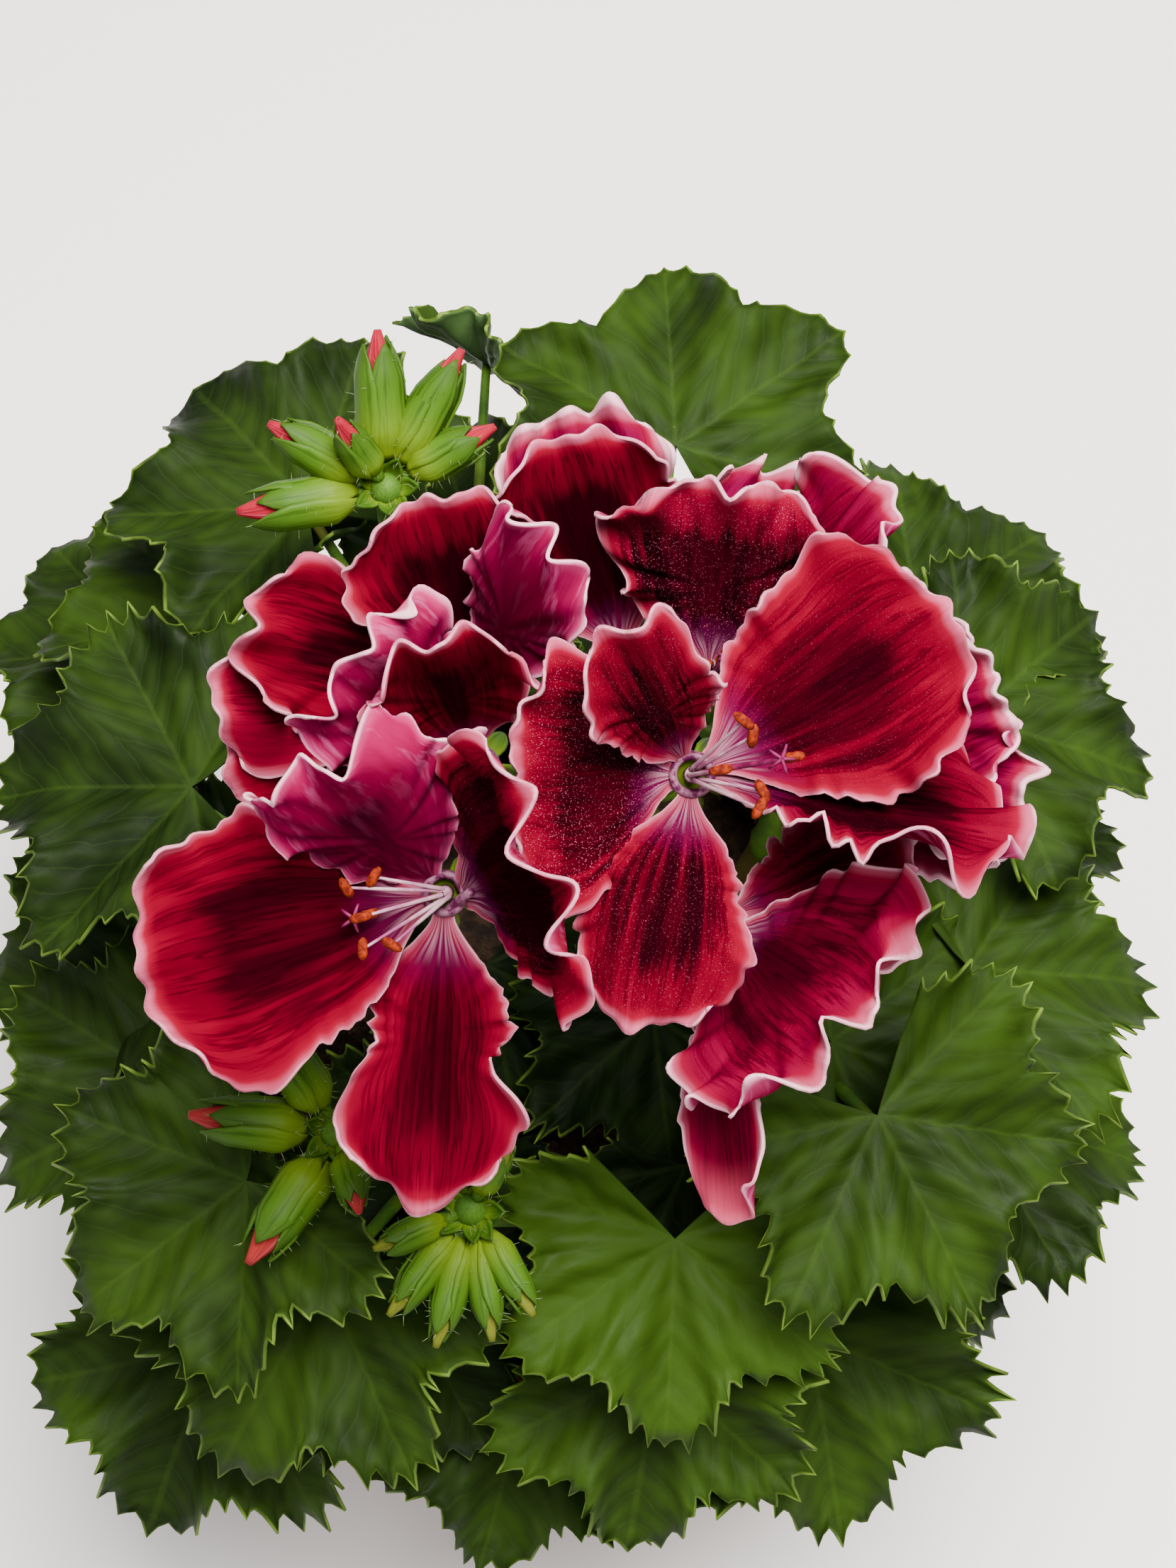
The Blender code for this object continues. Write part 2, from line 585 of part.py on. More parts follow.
def stamens(name, throat, heading, rise, length, filaments):
    """The column of a bloom and its filaments, each with an anther."""
    frame = HEAD_FRAME @ Matrix.Translation(throat)
    foot = Vector((0, 0, -THROAT_DEPTH / 2))
    top = Vector((0, 0, THROAT_DEPTH / 2 + COLUMN_RISE))
    pieces = [rod(frame, foot, top, COLUMN_RADIUS)]
    for index in range(filaments):
        turn = heading + index / filaments * 360
        way = (direction(heading, rise) + direction(turn, 30) * FILAMENT_SPREAD).normalized()
        start = top + direction(turn, 0) * COLUMN_RADIUS * 0.55 - Vector((0, 0, 0.3))
        tip = start + way * length * (0.85 + 0.15 * cos(radians(3 * turn)))
        half = (direction(turn, 20) - way * 0.3).normalized() * ANTHER_LENGTH / 2
        pieces.append(rod(frame, start, tip, FILAMENT_RADIUS))
        pieces.append(rod(frame, tip - half, tip + half, ANTHER_RADIUS))
    finished(fused(pieces), name, material("filament", (0.85, 0.55, 0.6), 0.5))


def bud_head(name, shoot, bend, centre, buds):
    """A head of buds on its peduncle, which stands on the tip of its shoot."""
    foot, way = stem_tip(shoot)
    centre = Vector(centre)
    stalk = tube([foot] + bent(foot + way * 2, bend, centre, 4), BUD_STALK_RADIUS)
    pieces = [stalk, ball(centre, BUD_HUB_RADIUS)]
    frame = Matrix.Translation(centre) @ Matrix.Rotation(radians(HEAD_LEAN), 4, "X")
    for bud in buds:
        way = direction(bud.heading, bud.rise)
        pieces.append(rod(frame, way * 1.5, way * (BUD_START + 1), BUD_PEDICEL_RADIUS))
        stations = []
        for share, width in BUD_OUTLINE:
            stations.append((frame @ (way * (BUD_START + bud.length * share)), bud.radius * width))
        pieces.append(spindle(stations))
    finished(fused(pieces), name, material("sepal", (0.25, 0.4, 0.08), 0.55))


clear_scene()
pot()
soil()
for name, (stem, leaves) in SHOOTS.items():
    leafy_shoot(name, stem, leaves)
flower_stalk()
for name, (throat, petals, tuft) in BLOOMS.items():
    bloom(name, throat, petals)
    stamens(name.replace("bloom", "stamens"), throat, *tuft)
for name, (shoot, bend, centre, buds) in BUD_HEADS.items():
    bud_head(name, shoot, bend, centre, buds)
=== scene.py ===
# %% [markdown]
# # A regal pelargonium in a clay pot
#
# The plant is seen from steeply above: a head of ruffled dark red blooms over lobed, toothed leaves, with
# three heads of buds. This lesson dresses the plain solids of the plant. Each one is replaced by a finer
# piece that keeps its form, because it is made from the same named points and the same formulas.

# %% Load the solids
from collections import namedtuple
from math import cos, pi, radians, sin

import bpy
import numpy as np
from mathutils import Matrix, Vector


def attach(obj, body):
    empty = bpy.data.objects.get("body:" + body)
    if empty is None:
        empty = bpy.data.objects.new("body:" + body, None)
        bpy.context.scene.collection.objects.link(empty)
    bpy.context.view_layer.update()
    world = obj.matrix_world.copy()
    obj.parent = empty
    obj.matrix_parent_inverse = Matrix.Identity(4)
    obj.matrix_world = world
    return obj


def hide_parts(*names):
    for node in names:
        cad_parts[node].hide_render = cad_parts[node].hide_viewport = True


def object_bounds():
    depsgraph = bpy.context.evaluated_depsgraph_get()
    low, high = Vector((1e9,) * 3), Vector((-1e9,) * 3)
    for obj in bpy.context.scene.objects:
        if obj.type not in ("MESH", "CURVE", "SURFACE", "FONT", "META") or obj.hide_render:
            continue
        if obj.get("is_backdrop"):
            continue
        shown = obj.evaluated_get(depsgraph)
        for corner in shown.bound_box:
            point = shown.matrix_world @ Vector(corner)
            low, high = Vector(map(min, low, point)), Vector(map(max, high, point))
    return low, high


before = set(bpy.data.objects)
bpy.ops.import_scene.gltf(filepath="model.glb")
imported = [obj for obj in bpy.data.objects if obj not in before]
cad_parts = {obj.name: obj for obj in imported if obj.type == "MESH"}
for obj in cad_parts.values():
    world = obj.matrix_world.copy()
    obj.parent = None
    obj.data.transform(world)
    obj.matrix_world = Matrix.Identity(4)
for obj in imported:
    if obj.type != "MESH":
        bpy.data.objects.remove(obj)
solid_bounds = [list(corner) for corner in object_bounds()]
MM = 0.001
print("solids:", len(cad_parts), "height in mm:", round(solid_bounds[1][2] / MM, 1))

# %% [markdown]
# ## The camera
#
# The photograph looks down at 68 degrees on a flower head that leans 22 degrees towards it, from about a
# third of a metre. The camera could be aimed by eye, but here it stands straight above the face of the flower
# head and takes the frame of the head with it, so places in the head's frame fall where they do in the
# photograph.

# %% Camera
HEAD_CENTRE = Vector((0, -10, 196))
HEAD_LEAN = 22
HEAD_TURN = Matrix.Rotation(radians(HEAD_LEAN), 4, "X")
HEAD_FRAME = Matrix.Translation(HEAD_CENTRE) @ HEAD_TURN
CAMERA_IN_HEAD_FRAME = Vector((0.04, 2.56, 340))
LENS = 69.17

bpy.ops.object.camera_add(location=(HEAD_FRAME @ CAMERA_IN_HEAD_FRAME) * MM, rotation=HEAD_TURN.to_euler())
camera = bpy.context.object
camera.data.lens = LENS
camera.data.clip_start = 10 * MM
bpy.context.scene.camera = camera
print("camera at", [round(value, 3) for value in camera.location])

# %% [markdown]
# ## The named points of the plant
#
# All lengths are in millimetres. The petals are given in the frame of the flower head, whose Z axis points at
# the camera. A petal's heading and rise say where it points, curl and lip bend it along its length, fold
# bends its two sides, and frill waves its margin. Its tone says how dark and how pink it is, and how strong
# its painted glints are. How dark it is also sets the painted shade towards the foot of its back.
# Its waist says where each side is drawn in and by how much, the left side last. The blooms could be modelled
# one by one, but with a row of numbers for each petal one formula makes them all, and a petal is turned by
# changing one number. The last entry of a bloom is its tuft of stamens: heading, rise, length and number of
# filaments.

# %% Blooms
Petal = namedtuple(
    "Petal",
    "heading rise length width curl fold frill waves phase roll lip start tone waist",
    defaults=(0, 0, (0, 0, 0), (0.7, 0.1, 0.2), (0, 0, 0, 0)),
)
BLOOMS = {
    "bloom_1": ((-16, -9.7, 2), (
        Petal(195, 8, 33.5, 30, 22, (12, 18), 1.4, 2.0, 0.3, lip=-10, tone=(0.82, 0.0, 0.0)),
        Petal(266, -4, 34, 22, 10, (-15, -20), 1.8, 1.6, 1.0, lip=-20, tone=(0.7, 0.05, 0.0),
              waist=(0.55, 0.42, 0.46, 0.3)),
        Petal(28, 70, 30, 33, 26, (-10, 20), 1.8, 2.4, 2.0, start=(0.2, -1.2, 0), tone=(1.2, 0.0, 0.3)),
        Petal(135, 46, 25, 25, 0, (60, 25), 1.8, 2.2, 0.6, roll=150, tone=(0.5, 0.8, 0.0)),
    ), (195, -2, 11, 6)),
    "bloom_2": ((11.6, 3.6, 5), (
        Petal(32, 4, 32, 29, 10, (12, 15), 1.5, 2.6, 0.0, roll=-8, tone=(0.85, 0.0, 0.15)),
        Petal(-10, 0, 36, 27, 0, (10, 20), 2.2, 2.6, 1.4, roll=-62, tone=(1.0, 0.1, 0.1)),
        Petal(259, 5, 27, 20, -20, (-20, -20), 1.5, 1.8, 0.5, lip=-10, tone=(0.95, 0.0, 0.4)),
        Petal(120, 54, 27, 15, -20, (25, 20), 1.5, 1.5, 0.6, tone=(1.1, 0.0, 0.4)),
        Petal(182, 30, 21, 31, 20, (10, 10), 1.6, 2.6, 0.9, roll=-14, lip=-10, tone=(1.1, 0.0, 1.1)),
    ), (10, 40, 13, 6)),
    "bloom_3": ((14, 14.5, -11), (
        Petal(86, 40, 25, 27, 15, (-10, 5), 2.4, 2.4, 0.2, lip=-20, tone=(1.3, 0.1, 0.9)),
        Petal(47, 16, 29, 22, 0, (30, 10), 2.2, 2.2, 1.2, roll=-55, tone=(0.9, 0.4, 0.1)),
        Petal(69, -5, 25, 19, 10, (10, 10), 2.0, 3.4, 0.8, roll=20, lip=-30, tone=(0.3, 0.8, 0.0)),
    ), (60, 50, 5, 3)),
    "bloom_4": ((27.6, 5.6, -13), (
        Petal(22, 18, 21, 22, 20, (10, 10), 2.4, 2.4, 0.0, tone=(0.3, 0.6, 0.0)),
        Petal(-10, 8, 23, 18, 30, (10, 10), 2.2, 2.6, 1.6, lip=30, tone=(0.3, 0.6, 0.0)),
        Petal(62, -6, 22, 18, 0, (10, 10), 1.4, 1.8, 0.9, tone=(0.4, 0.5, 0.0)),
        Petal(-22, -11, 23, 18, 0, (10, 10), 1.4, 1.8, 0.6, tone=(0.3, 0.6, 0.0)),
    ), (60, 50, 4, 3)),
    "bloom_5": ((4.5, 16, -16), (
        Petal(106, 34, 30, 24, 20, (25, 20), 1.2, 2.0, 0.4, lip=-10, tone=(0.9, 0.0, 0.0)),
        Petal(104, 28, 31, 22, 20, (25, 25), 1.8, 3.4, 1.1, lip=-50, tone=(0.3, 0.8, 0.0)),
    ), (90, 60, 5, 3)),
    "bloom_6": ((-11.8, 13.6, -10.5), (
        Petal(106, 38, 25, 24, 20, (25, 25), 1.2, 2.0, 0.4, lip=-10, tone=(0.9, 0.0, 0.0)),
        Petal(166, 18, 28, 20, 30, (15, 15), 1.8, 2.2, 1.3, tone=(0.9, 0.0, 0.0)),
        Petal(183, 10, 30, 18, 10, (-15, -15), 1.4, 1.6, 2.0, tone=(0.7, 0.1, 0.0)),
        Petal(199, 0, 30, 15, 0, (-20, -20), 1.2, 1.4, 0.2, tone=(0.9, 0.0, 0.0)),
        Petal(65, 60, 31, 17, 20, (20, 20), 1.6, 2.2, 0.8, roll=155, tone=(0.5, 0.8, 0.0)),
    ), (120, 60, 4, 3)),
    "bloom_7": ((14.5, -13.4, -7), (
        Petal(-38, 42, 22, 36, 20, (5, 20), 2.4, 2.8, 0.4, tone=(0.7, 0.3, 0.1)),
        Petal(24, -6, 23, 15, 0, (15, 15), 1.8, 2.4, 0.6, roll=-30, tone=(0.8, 0.2, 0.0)),
        Petal(3, -26, 23, 16, 0, (10, 10), 1.4, 1.8, 0.9, roll=-20, tone=(0.7, 0.2, 0.0)),
        Petal(-86, 0, 33, 14, 0, (20, 20), 1.0, 1.2, 0.0, roll=55, tone=(0.0, 0.3, 0.0)),
    ), (60, 60, 4, 3)),
    "bloom_8": ((-12.5, 4.4, -2), (
        Petal(138, 52, 25, 22, -20, (20, 20), 1.8, 2.4, 0.0, roll=180, tone=(0.5, 0.8, 0.0)),
        Petal(106, 60, 25, 20, 10, (25, 40), 1.4, 2.2, 1.1, tone=(0.8, 0.0, 0.0)),
    ), (-60, 50, 4, 3)),
}
print("petals:", sum(len(petals) for throat, petals, tuft in BLOOMS.values()))

# %% [markdown]
# A leaf is given by where its petiole meets it, the way it points, its droop and size, and how far up its
# shoot its node sits. Tone says how light its green is. It is partly the leaf's own tone and partly painted
# shade:
# the inner leaves under the flower head and the leaves on the left are given low tones where shade falls.
# Spread says how far its lobes reach round the petiole.

# %% Shoots and heads of buds
STEM_FOOT = 62
LEAF_SPREAD = 135
Leaf = namedtuple("Leaf", "seat azimuth droop size node roll tone spread", defaults=(0, 0.5, LEAF_SPREAD))
# Low tones here are partly painted shade: the inner leaves under the flower head and the leaves on the left
# are darkened where shade falls.
SHOOTS = {
    "shoot_1": (((-8, 14, STEM_FOOT), (-14, 24, 96), (-24, 40, 128)), (
        Leaf((-13, 83, 133), 140, 5, 26, 0.7, roll=70),
        Leaf((-39, 57.5, 140), 128, 8, 46, 0.8, tone=0.35, spread=152),
        Leaf((-52, 49, 128), 140, 15, 44, 0.8, tone=0.5),
        Leaf((-16, 58, 120), 103, 5, 43, 0.7, tone=0.3),
        Leaf((-23, 36, 116), 120, 5, 46, 0.75, tone=0.2),
        Leaf((-65, 50, 112), 128, 20, 46, 0.6, tone=0.4),
    )),
    "shoot_2": (((-15, -1, STEM_FOOT), (-24, 0, 94), (-34, 4, 128)), (
        Leaf((-52, 13, 145), 172, 12, 47, 0.95, tone=0.3, spread=140),
        Leaf((-48, 9, 109), 185, 10, 44, 0.6, tone=0.3),
        Leaf((-60, -1, 120), 190, 20, 42, 0.75, tone=0.4),
        Leaf((-56, -21, 121), 200, 15, 44, 0.85, tone=0.5),
        Leaf((-14, -3, 119), 280, 5, 31, 0.6, tone=0.1),
    )),
    "shoot_3": (((-9, -13, STEM_FOOT), (-16, -22, 92), (-24, -33, 122)), (
        Leaf((-43, -39, 141), 212, 15, 43, 0.9, tone=0.5),
        Leaf((-50, -53, 107.5), 245, 25, 44, 0.7, tone=0.5),
        Leaf((-34, -49, 130), 240, 20, 45, 0.85, tone=0.55),
        Leaf((-26, -46, 118), 300, 20, 42, 0.8, tone=0.4),
        Leaf((-8.5, -59, 105), 256, 25, 40, 0.7, tone=0.45),
        Leaf((-21, -29, 110), 240, 10, 38, 0.75, tone=0.2),
    )),
    "shoot_4": (((4, -15, STEM_FOOT), (4, -25, 92), (3, -37, 121)), (
        Leaf((11, -46, 139), 268, 20, 41, 0.65, tone=0.95),
        Leaf((9, -58, 122), 262, 25, 40, 0.85, tone=0.55),
        Leaf((29, -53, 116), 282, 25, 45, 0.75, tone=0.5),
        Leaf((9, -11, 121), 275, 5, 36, 0.6, tone=0.2),
        Leaf((13, -33, 126), 300, 8, 28, 0.9, tone=0.15),
    )),
    "shoot_5": (((15, -7, STEM_FOOT), (23, -12, 94), (32, -20, 126)), (
        Leaf((36, -33, 150), 300, 18, 44, 0.95, tone=0.55),
        Leaf((32, -18, 132), 345, 10, 42, 0.9, tone=0.5),
        Leaf((51, -7, 130), 2, 15, 44, 0.85, tone=0.5),
        Leaf((54, -22, 112), 350, 20, 42, 0.75, tone=0.45),
        Leaf((42, -37, 104), 325, 25, 34, 0.7, tone=0.35),
    )),
    "shoot_6": (((13, 9, STEM_FOOT), (22, 16, 94), (34, 28, 126)), (
        Leaf((53, 20, 110), 5, 15, 42, 0.75, tone=0.35),
        Leaf((52, 26, 138), 350, 12, 42, 0.95, tone=0.4),
        Leaf((46, 43, 134), 42, 10, 42, 0.9, tone=0.4),
        Leaf((38, 56, 120), 62, 5, 28, 0.8, tone=0.5),
        Leaf((32, 14, 114), 350, 5, 34, 0.7, tone=0.2),
    )),
    "shoot_7": (((1, 2, STEM_FOOT), (3, 8, 94), (4, 5, 124)), (
        Leaf((12, 61.5, 149), 92, -2, 46, 0.95, tone=0.45, spread=155),
        Leaf((14, 40, 107), 75, 0, 38, 0.7, tone=0.3),
    )),
}
Bud = namedtuple("Bud", "heading rise length radius")
BUD_HEADS = {
    "bud_head_1": ("shoot_1", (-26, 42, 150), (-26, 46, 166), (
        Bud(92, 18, 16, 3.4), Bud(60, 14, 16, 3.2), Bud(190, 12, 15, 3.4), Bud(152, 20, 13, 3.0),
        Bud(28, 14, 12, 2.8), Bud(125, 50, 10, 2.4),
    )),
    "bud_head_2": ("shoot_3", (-31, -34, 136), (-31, -35, 150), (
        Bud(172, 14, 14, 3.4), Bud(236, 12, 15, 3.6), Bud(120, 20, 11, 3.0), Bud(290, 40, 8, 2.2),
    )),
    "bud_head_3": ("shoot_4", (-13, -41, 126), (-14.5, -44, 147), (
        Bud(232, 12, 12, 2.2), Bud(256, 10, 13, 2.2), Bud(280, 12, 12, 2.0), Bud(302, 16, 11, 2.0),
        Bud(200, 24, 9, 1.8), Bud(60, 40, 9, 1.8),
    )),
}
print("leaves:", sum(len(leaves) for stem, leaves in SHOOTS.values()))

# %% [markdown]
# ## Helpers for meshes
#
# A petal, a leaf and a sepal are all thin blades. They could be cut from a plane and bent with lattices, but
# then each would need its own. Instead each starts as a flat grid, is moved point by point to its formula,
# and gets its wall from a Solidify modifier. The formula is worked out for all the points at once with
# arrays, which is quick. A blade also keeps numbers at its points, such as the distance to its margin, and
# the materials read them.

# %% Selecting and joining
def only(thing):
    """Makes the object the active one, and the only one selected."""
    bpy.ops.object.select_all(action="DESELECT")
    thing.select_set(True)
    bpy.context.view_layer.objects.active = thing
    return thing


def joined(name, pieces):
    """Joins objects in one mesh and names it."""
    only(pieces[0])
    for piece in pieces[1:]:
        piece.select_set(True)
    bpy.ops.object.join()
    pieces[0].name = pieces[0].data.name = name
    return pieces[0]


def welded(thing, distance=0.005):
    """Merges the points that meet, in edit mode."""
    only(thing)
    bpy.ops.object.mode_set(mode="EDIT")
    bpy.ops.mesh.select_all(action="SELECT")
    bpy.ops.mesh.remove_doubles(threshold=distance * MM)
    bpy.ops.object.mode_set(mode="OBJECT")
    return thing


def strewn(first, placings):
    """Copies of one small piece, each with its own mesh and its own placing. The first one is removed."""
    copies = []
    for placing in placings:
        copy = first.copy()
        copy.data = first.data.copy()
        bpy.context.collection.objects.link(copy)
        copy.data.transform(placing)
        copies.append(copy)
    bpy.data.objects.remove(first)
    return copies


def placed(piece, slot, *nodes):
    """Hands a finished piece to the root frame and hides the solids that it replaces. The slot is not used.
    """
    bpy.ops.object.select_all(action="DESELECT")
    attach(piece, "root")
    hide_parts(*nodes)
    piece.data.calc_loop_triangles()
    print(piece.name, "triangles:", len(piece.data.loop_triangles))


# %% Points of a mesh
def points_of(mesh):
    """The places of a mesh's points, as an array."""
    flat = np.empty(3 * len(mesh.vertices), np.float32)
    mesh.vertices.foreach_get("co", flat)
    return flat.reshape(-1, 3)


def move_points(mesh, places):
    """Moves the points of a mesh to places in mm."""
    mesh.vertices.foreach_set("co", (places * MM).astype(np.float32).ravel())


# %% Blades
def blade(columns, rows, place, marks, thickness, materials):
    """A thin solid blade. place(s, t) gives its points in mm, and marks(s, t) the numbers kept at them."""
    bpy.ops.object.select_all(action="DESELECT")
    bpy.ops.mesh.primitive_grid_add(x_subdivisions=columns, y_subdivisions=rows, size=2)
    thing = bpy.context.object
    mesh = thing.data
    flat = points_of(mesh).astype(float)
    s, t = flat[:, 0], (flat[:, 1] + 1) / 2
    move_points(mesh, place(s, t))
    for name, values in marks(s, t).items():
        attribute = mesh.attributes.new(name, "FLOAT", "POINT")
        attribute.data.foreach_set("value", np.broadcast_to(values, s.shape).astype(np.float32))
    for material in materials:
        mesh.materials.append(material)
    welded(thing)
    wall = thing.modifiers.new("Thickness", "SOLIDIFY")
    wall.thickness = thickness * MM
    wall.offset = 0
    wall.material_offset = len(materials) - 1
    bpy.ops.object.modifier_apply(modifier=wall.name)
    mesh.shade_smooth()
    return thing


def uneven(way, rates, seed):
    """An uneven wave between about -1 and 1: a few sines with drawn phases."""
    phases = np.random.default_rng(seed).uniform(0, 2 * pi, len(rates))
    return sum(np.sin(rate * way + phase) for rate, phase in zip(rates, phases)) / len(rates) ** 0.6


def direction(heading, rise):
    """A unit vector by its heading from X towards Y and its rise, in degrees."""
    level = Vector((cos(radians(heading)), sin(radians(heading)), 0))
    return level * cos(radians(rise)) + Vector((0, 0, sin(radians(rise))))


def blade_axes(heading, rise, roll):
    """The ways along, across and out of a blade that is rolled about its length, as arrays."""
    ahead, level = direction(heading, rise), direction(heading, rise + 90)
    face = level * cos(radians(roll)) + ahead.cross(level) * sin(radians(roll))
    return np.array(ahead), np.array(ahead.cross(face)), np.array(face)


def carried(frame_of_head, points):
    """Points of a frame in world coordinates, as an array."""
    return points @ np.array(frame_of_head.to_3x3()).T + np.array(frame_of_head.translation)


# %% Stalks
def stalk(points, radii, material, sides=12):
    """A round stalk along points, in mm. It starts as a curve with a bevel, which is then made a mesh."""
    curve = bpy.data.curves.new("stalk", "CURVE")
    curve.dimensions = "3D"
    curve.bevel_depth = MM
    curve.bevel_resolution = (sides - 4) // 2
    curve.use_fill_caps = True
    spline = curve.splines.new("POLY")
    spline.points.add(len(points) - 1)
    for knot, place, radius in zip(spline.points, points, radii):
        knot.co = (*(Vector(place) * MM), 1)
        knot.radius = radius
    thing = bpy.data.objects.new("stalk", curve)
    bpy.context.collection.objects.link(thing)
    only(thing)
    bpy.ops.object.convert(target="MESH")
    thing.data.materials.append(material)
    welded(thing)
    thing.data.shade_smooth()
    return thing


def bent(start, control, end, pieces):
    """Points along a quadratic curve."""
    start, control, end = Vector(start), Vector(control), Vector(end)
    shares = [step / pieces for step in range(pieces + 1)]
    return [start * (1 - u) ** 2 + control * 2 * u * (1 - u) + end * u**2 for u in shares]


def tapered(first, last, count):
    """Evenly changing radii."""
    return [first + (last - first) * index / (count - 1) for index in range(count)]


def along(points, share):
    """The place at a share of a list of points."""
    place = share * (len(points) - 1)
    index = min(int(place), len(points) - 2)
    return Vector(points[index]).lerp(Vector(points[index + 1]), place - index)


# %% [markdown]
# ## Helpers for materials
#
# The colours of a plant follow its parts: a vein runs along a petal however the petal bends. Pictures on the
# surface could show that, but nodes that read the blade's own numbers and UV map stay sharp at every size.
# The nodes are made through a small class, so that a sum or a product in the code adds a Math node. Effects
# that several finishes share are node groups.

# %% Values that nodes put out
class Value:
    """What a node puts out. Arithmetic with it adds Math nodes to the same tree."""

    def __init__(self, socket):
        self.socket, self.tree = socket, socket.id_data

    def __add__(self, other):
        return maths("ADD", self, other)

    def __sub__(self, other):
        return maths("SUBTRACT", self, other)

    def __rsub__(self, other):
        return maths("SUBTRACT", other, self)

    def __mul__(self, other):
        return maths("MULTIPLY", self, other)

    def __truediv__(self, other):
        return maths("DIVIDE", self, other)

    def __abs__(self):
        return maths("ABSOLUTE", self)


def colour(code):
    """A linear colour from a web code."""
    parts = [int(code[index:index + 2], 16) / 255 for index in (0, 2, 4)]
    return (*[part / 12.92 if part <= 0.04045 else ((part + 0.055) / 1.055) ** 2.4 for part in parts], 1)


def feed(socket, value):
    """Links a value to a socket, or sets a number, or a colour by its web code."""
    if isinstance(value, Value):
        value.tree.links.new(value.socket, socket)
    else:
        socket.default_value = colour(value) if isinstance(value, str) else value


def node(tree, kind, inputs=(), **settings):
    """A new shader node with its settings and inputs."""
    made = tree.nodes.new("ShaderNode" + kind)
    for name, value in settings.items():
        setattr(made, name, value)
    for name, value in dict(inputs).items():
        feed(made.inputs[name], value)
    return made


# %% Node helpers
def maths(operation, *values):
    """One step of arithmetic."""
    tree = next(value.tree for value in values if isinstance(value, Value))
    return Value(node(tree, "Math", enumerate(values), operation=operation).outputs[0])


def ramp(value, low, high, first=0.0, last=1.0):
    """A smooth step from first to last while the value goes from low to high."""
    inputs = enumerate((value, low, high, first, last))
    return Value(node(value.tree, "MapRange", inputs, interpolation_type="SMOOTHSTEP").outputs["Result"])


def blend(share, first, second):
    """A colour between two."""
    return Value(node(share.tree, "Mix", {0: share, 6: first, 7: second}, data_type="RGBA").outputs[2])


def layers(base, *coats):
    """Lays colours over a base one after the other, each by its share."""
    for share, coat in coats:
        base = blend(share, base, coat)
    return base


def noise(place, scale, detail=2.0, roughness=0.5):
    """A cloudy value around 0.5."""
    inputs = {"Vector": place, "Scale": scale, "Detail": detail, "Roughness": roughness}
    return Value(node(place.tree, "TexNoise", inputs).outputs["Fac"])


def coordinates(tree, kind="Object"):
    """Where a point lies on its piece, on Object coordinates or the UV map."""
    return Value(node(tree, "TexCoord").outputs[kind])


def across_and_along(tree):
    """The two numbers of a blade's UV map."""
    parts = node(tree, "SeparateXYZ", {0: coordinates(tree, "UV")}).outputs
    return Value(parts[0]), Value(parts[1])


def marks_of(tree, *names):
    """Numbers that the mesh keeps at its points."""
    return [Value(node(tree, "Attribute", attribute_name=name).outputs["Fac"]) for name in names]


# %% Groups and finishes
def group(name, inputs, outputs):
    """An empty node group with named values going in and out."""
    made = bpy.data.node_groups.new(name, "ShaderNodeTree")
    for socket, value in inputs.items():
        made.interface.new_socket(socket, in_out="INPUT", socket_type="NodeSocketFloat").default_value = value
    for socket in outputs:
        made.interface.new_socket(socket, in_out="OUTPUT", socket_type="NodeSocketFloat")
    given = made.nodes.new("NodeGroupInput").outputs
    return made, {socket: Value(given[socket]) for socket in inputs}, made.nodes.new("NodeGroupOutput").inputs


def use(tree, made, **values):
    """Places a group in a material with its own values, and returns what it puts out by name."""
    outputs = node(tree, "Group", values, node_tree=made).outputs
    return {output.name: Value(output) for output in outputs}


def finish(name, roughness, specular):
    """A new Principled material and its tree."""
    made = bpy.data.materials.new(name)
    made.use_nodes = True
    inputs = made.node_tree.nodes["Principled BSDF"].inputs
    inputs["Roughness"].default_value = roughness
    inputs["Specular IOR Level"].default_value = specular
    return made, made.node_tree


def paint(made, base, height=None, relief=0.0, strength=1.0, roughness=None):
    """Gives a material its colour, and a relief in mm by a height between 0 and 1. Returns the material."""
    inputs = made.node_tree.nodes["Principled BSDF"].inputs
    feed(inputs["Base Color"], base)
    if height:
        raised = {"Distance": relief * MM, "Strength": strength, "Height": height}
        feed(inputs["Normal"], Value(node(made.node_tree, "Bump", raised).outputs["Normal"]))
    if roughness:
        feed(inputs["Roughness"], roughness)
    return made


def clouded(name, colours, roughness, specular, cloud, border=(0.35, 0.65), relief=0.0, strength=0.7):
    """Two colours in clouds that meet at a border. Cloud gives the noise its scale, detail and roughness."""
    made, tree = finish(name, roughness, specular)
    clouds = noise(coordinates(tree), *cloud)
    base = blend(ramp(clouds, *border), *colours)
    return paint(made, base, clouds if relief else None, relief, strength)


# %% [markdown]
# ## Shared patterns
#
# The veins of a petal fan out from its foot and split on the way. They could be drawn as curves, but there
# are hundreds. A noise that is stretched along the UV map's V axis gives streaks, and the lines where it
# crosses its middle value give fine veins that meet and part. The other group strews specks, for the painted
# glints on petals and for down.

# %% Veins of a petal
def petal_veins():
    """Streaks and fine veins along a blade. Across and Along say how many there are each way."""
    made, given, out = group("petal veins", {"Across": 22.0, "Along": 2.4, "Seed": 0.0}, ("Streak", "Vein"))
    across, along_blade = across_and_along(made)
    stretched = enumerate((across * given["Across"], along_blade * given["Along"], given["Seed"]))
    streak = noise(Value(node(made, "CombineXYZ", stretched).outputs[0]), 1.0, 3.0, 0.55)
    feed(out["Streak"], streak)
    feed(out["Vein"], ramp(abs(streak - 0.5), 0.0, 0.05, 1.0, 0.0))
    return made


PETAL_VEINS = petal_veins()


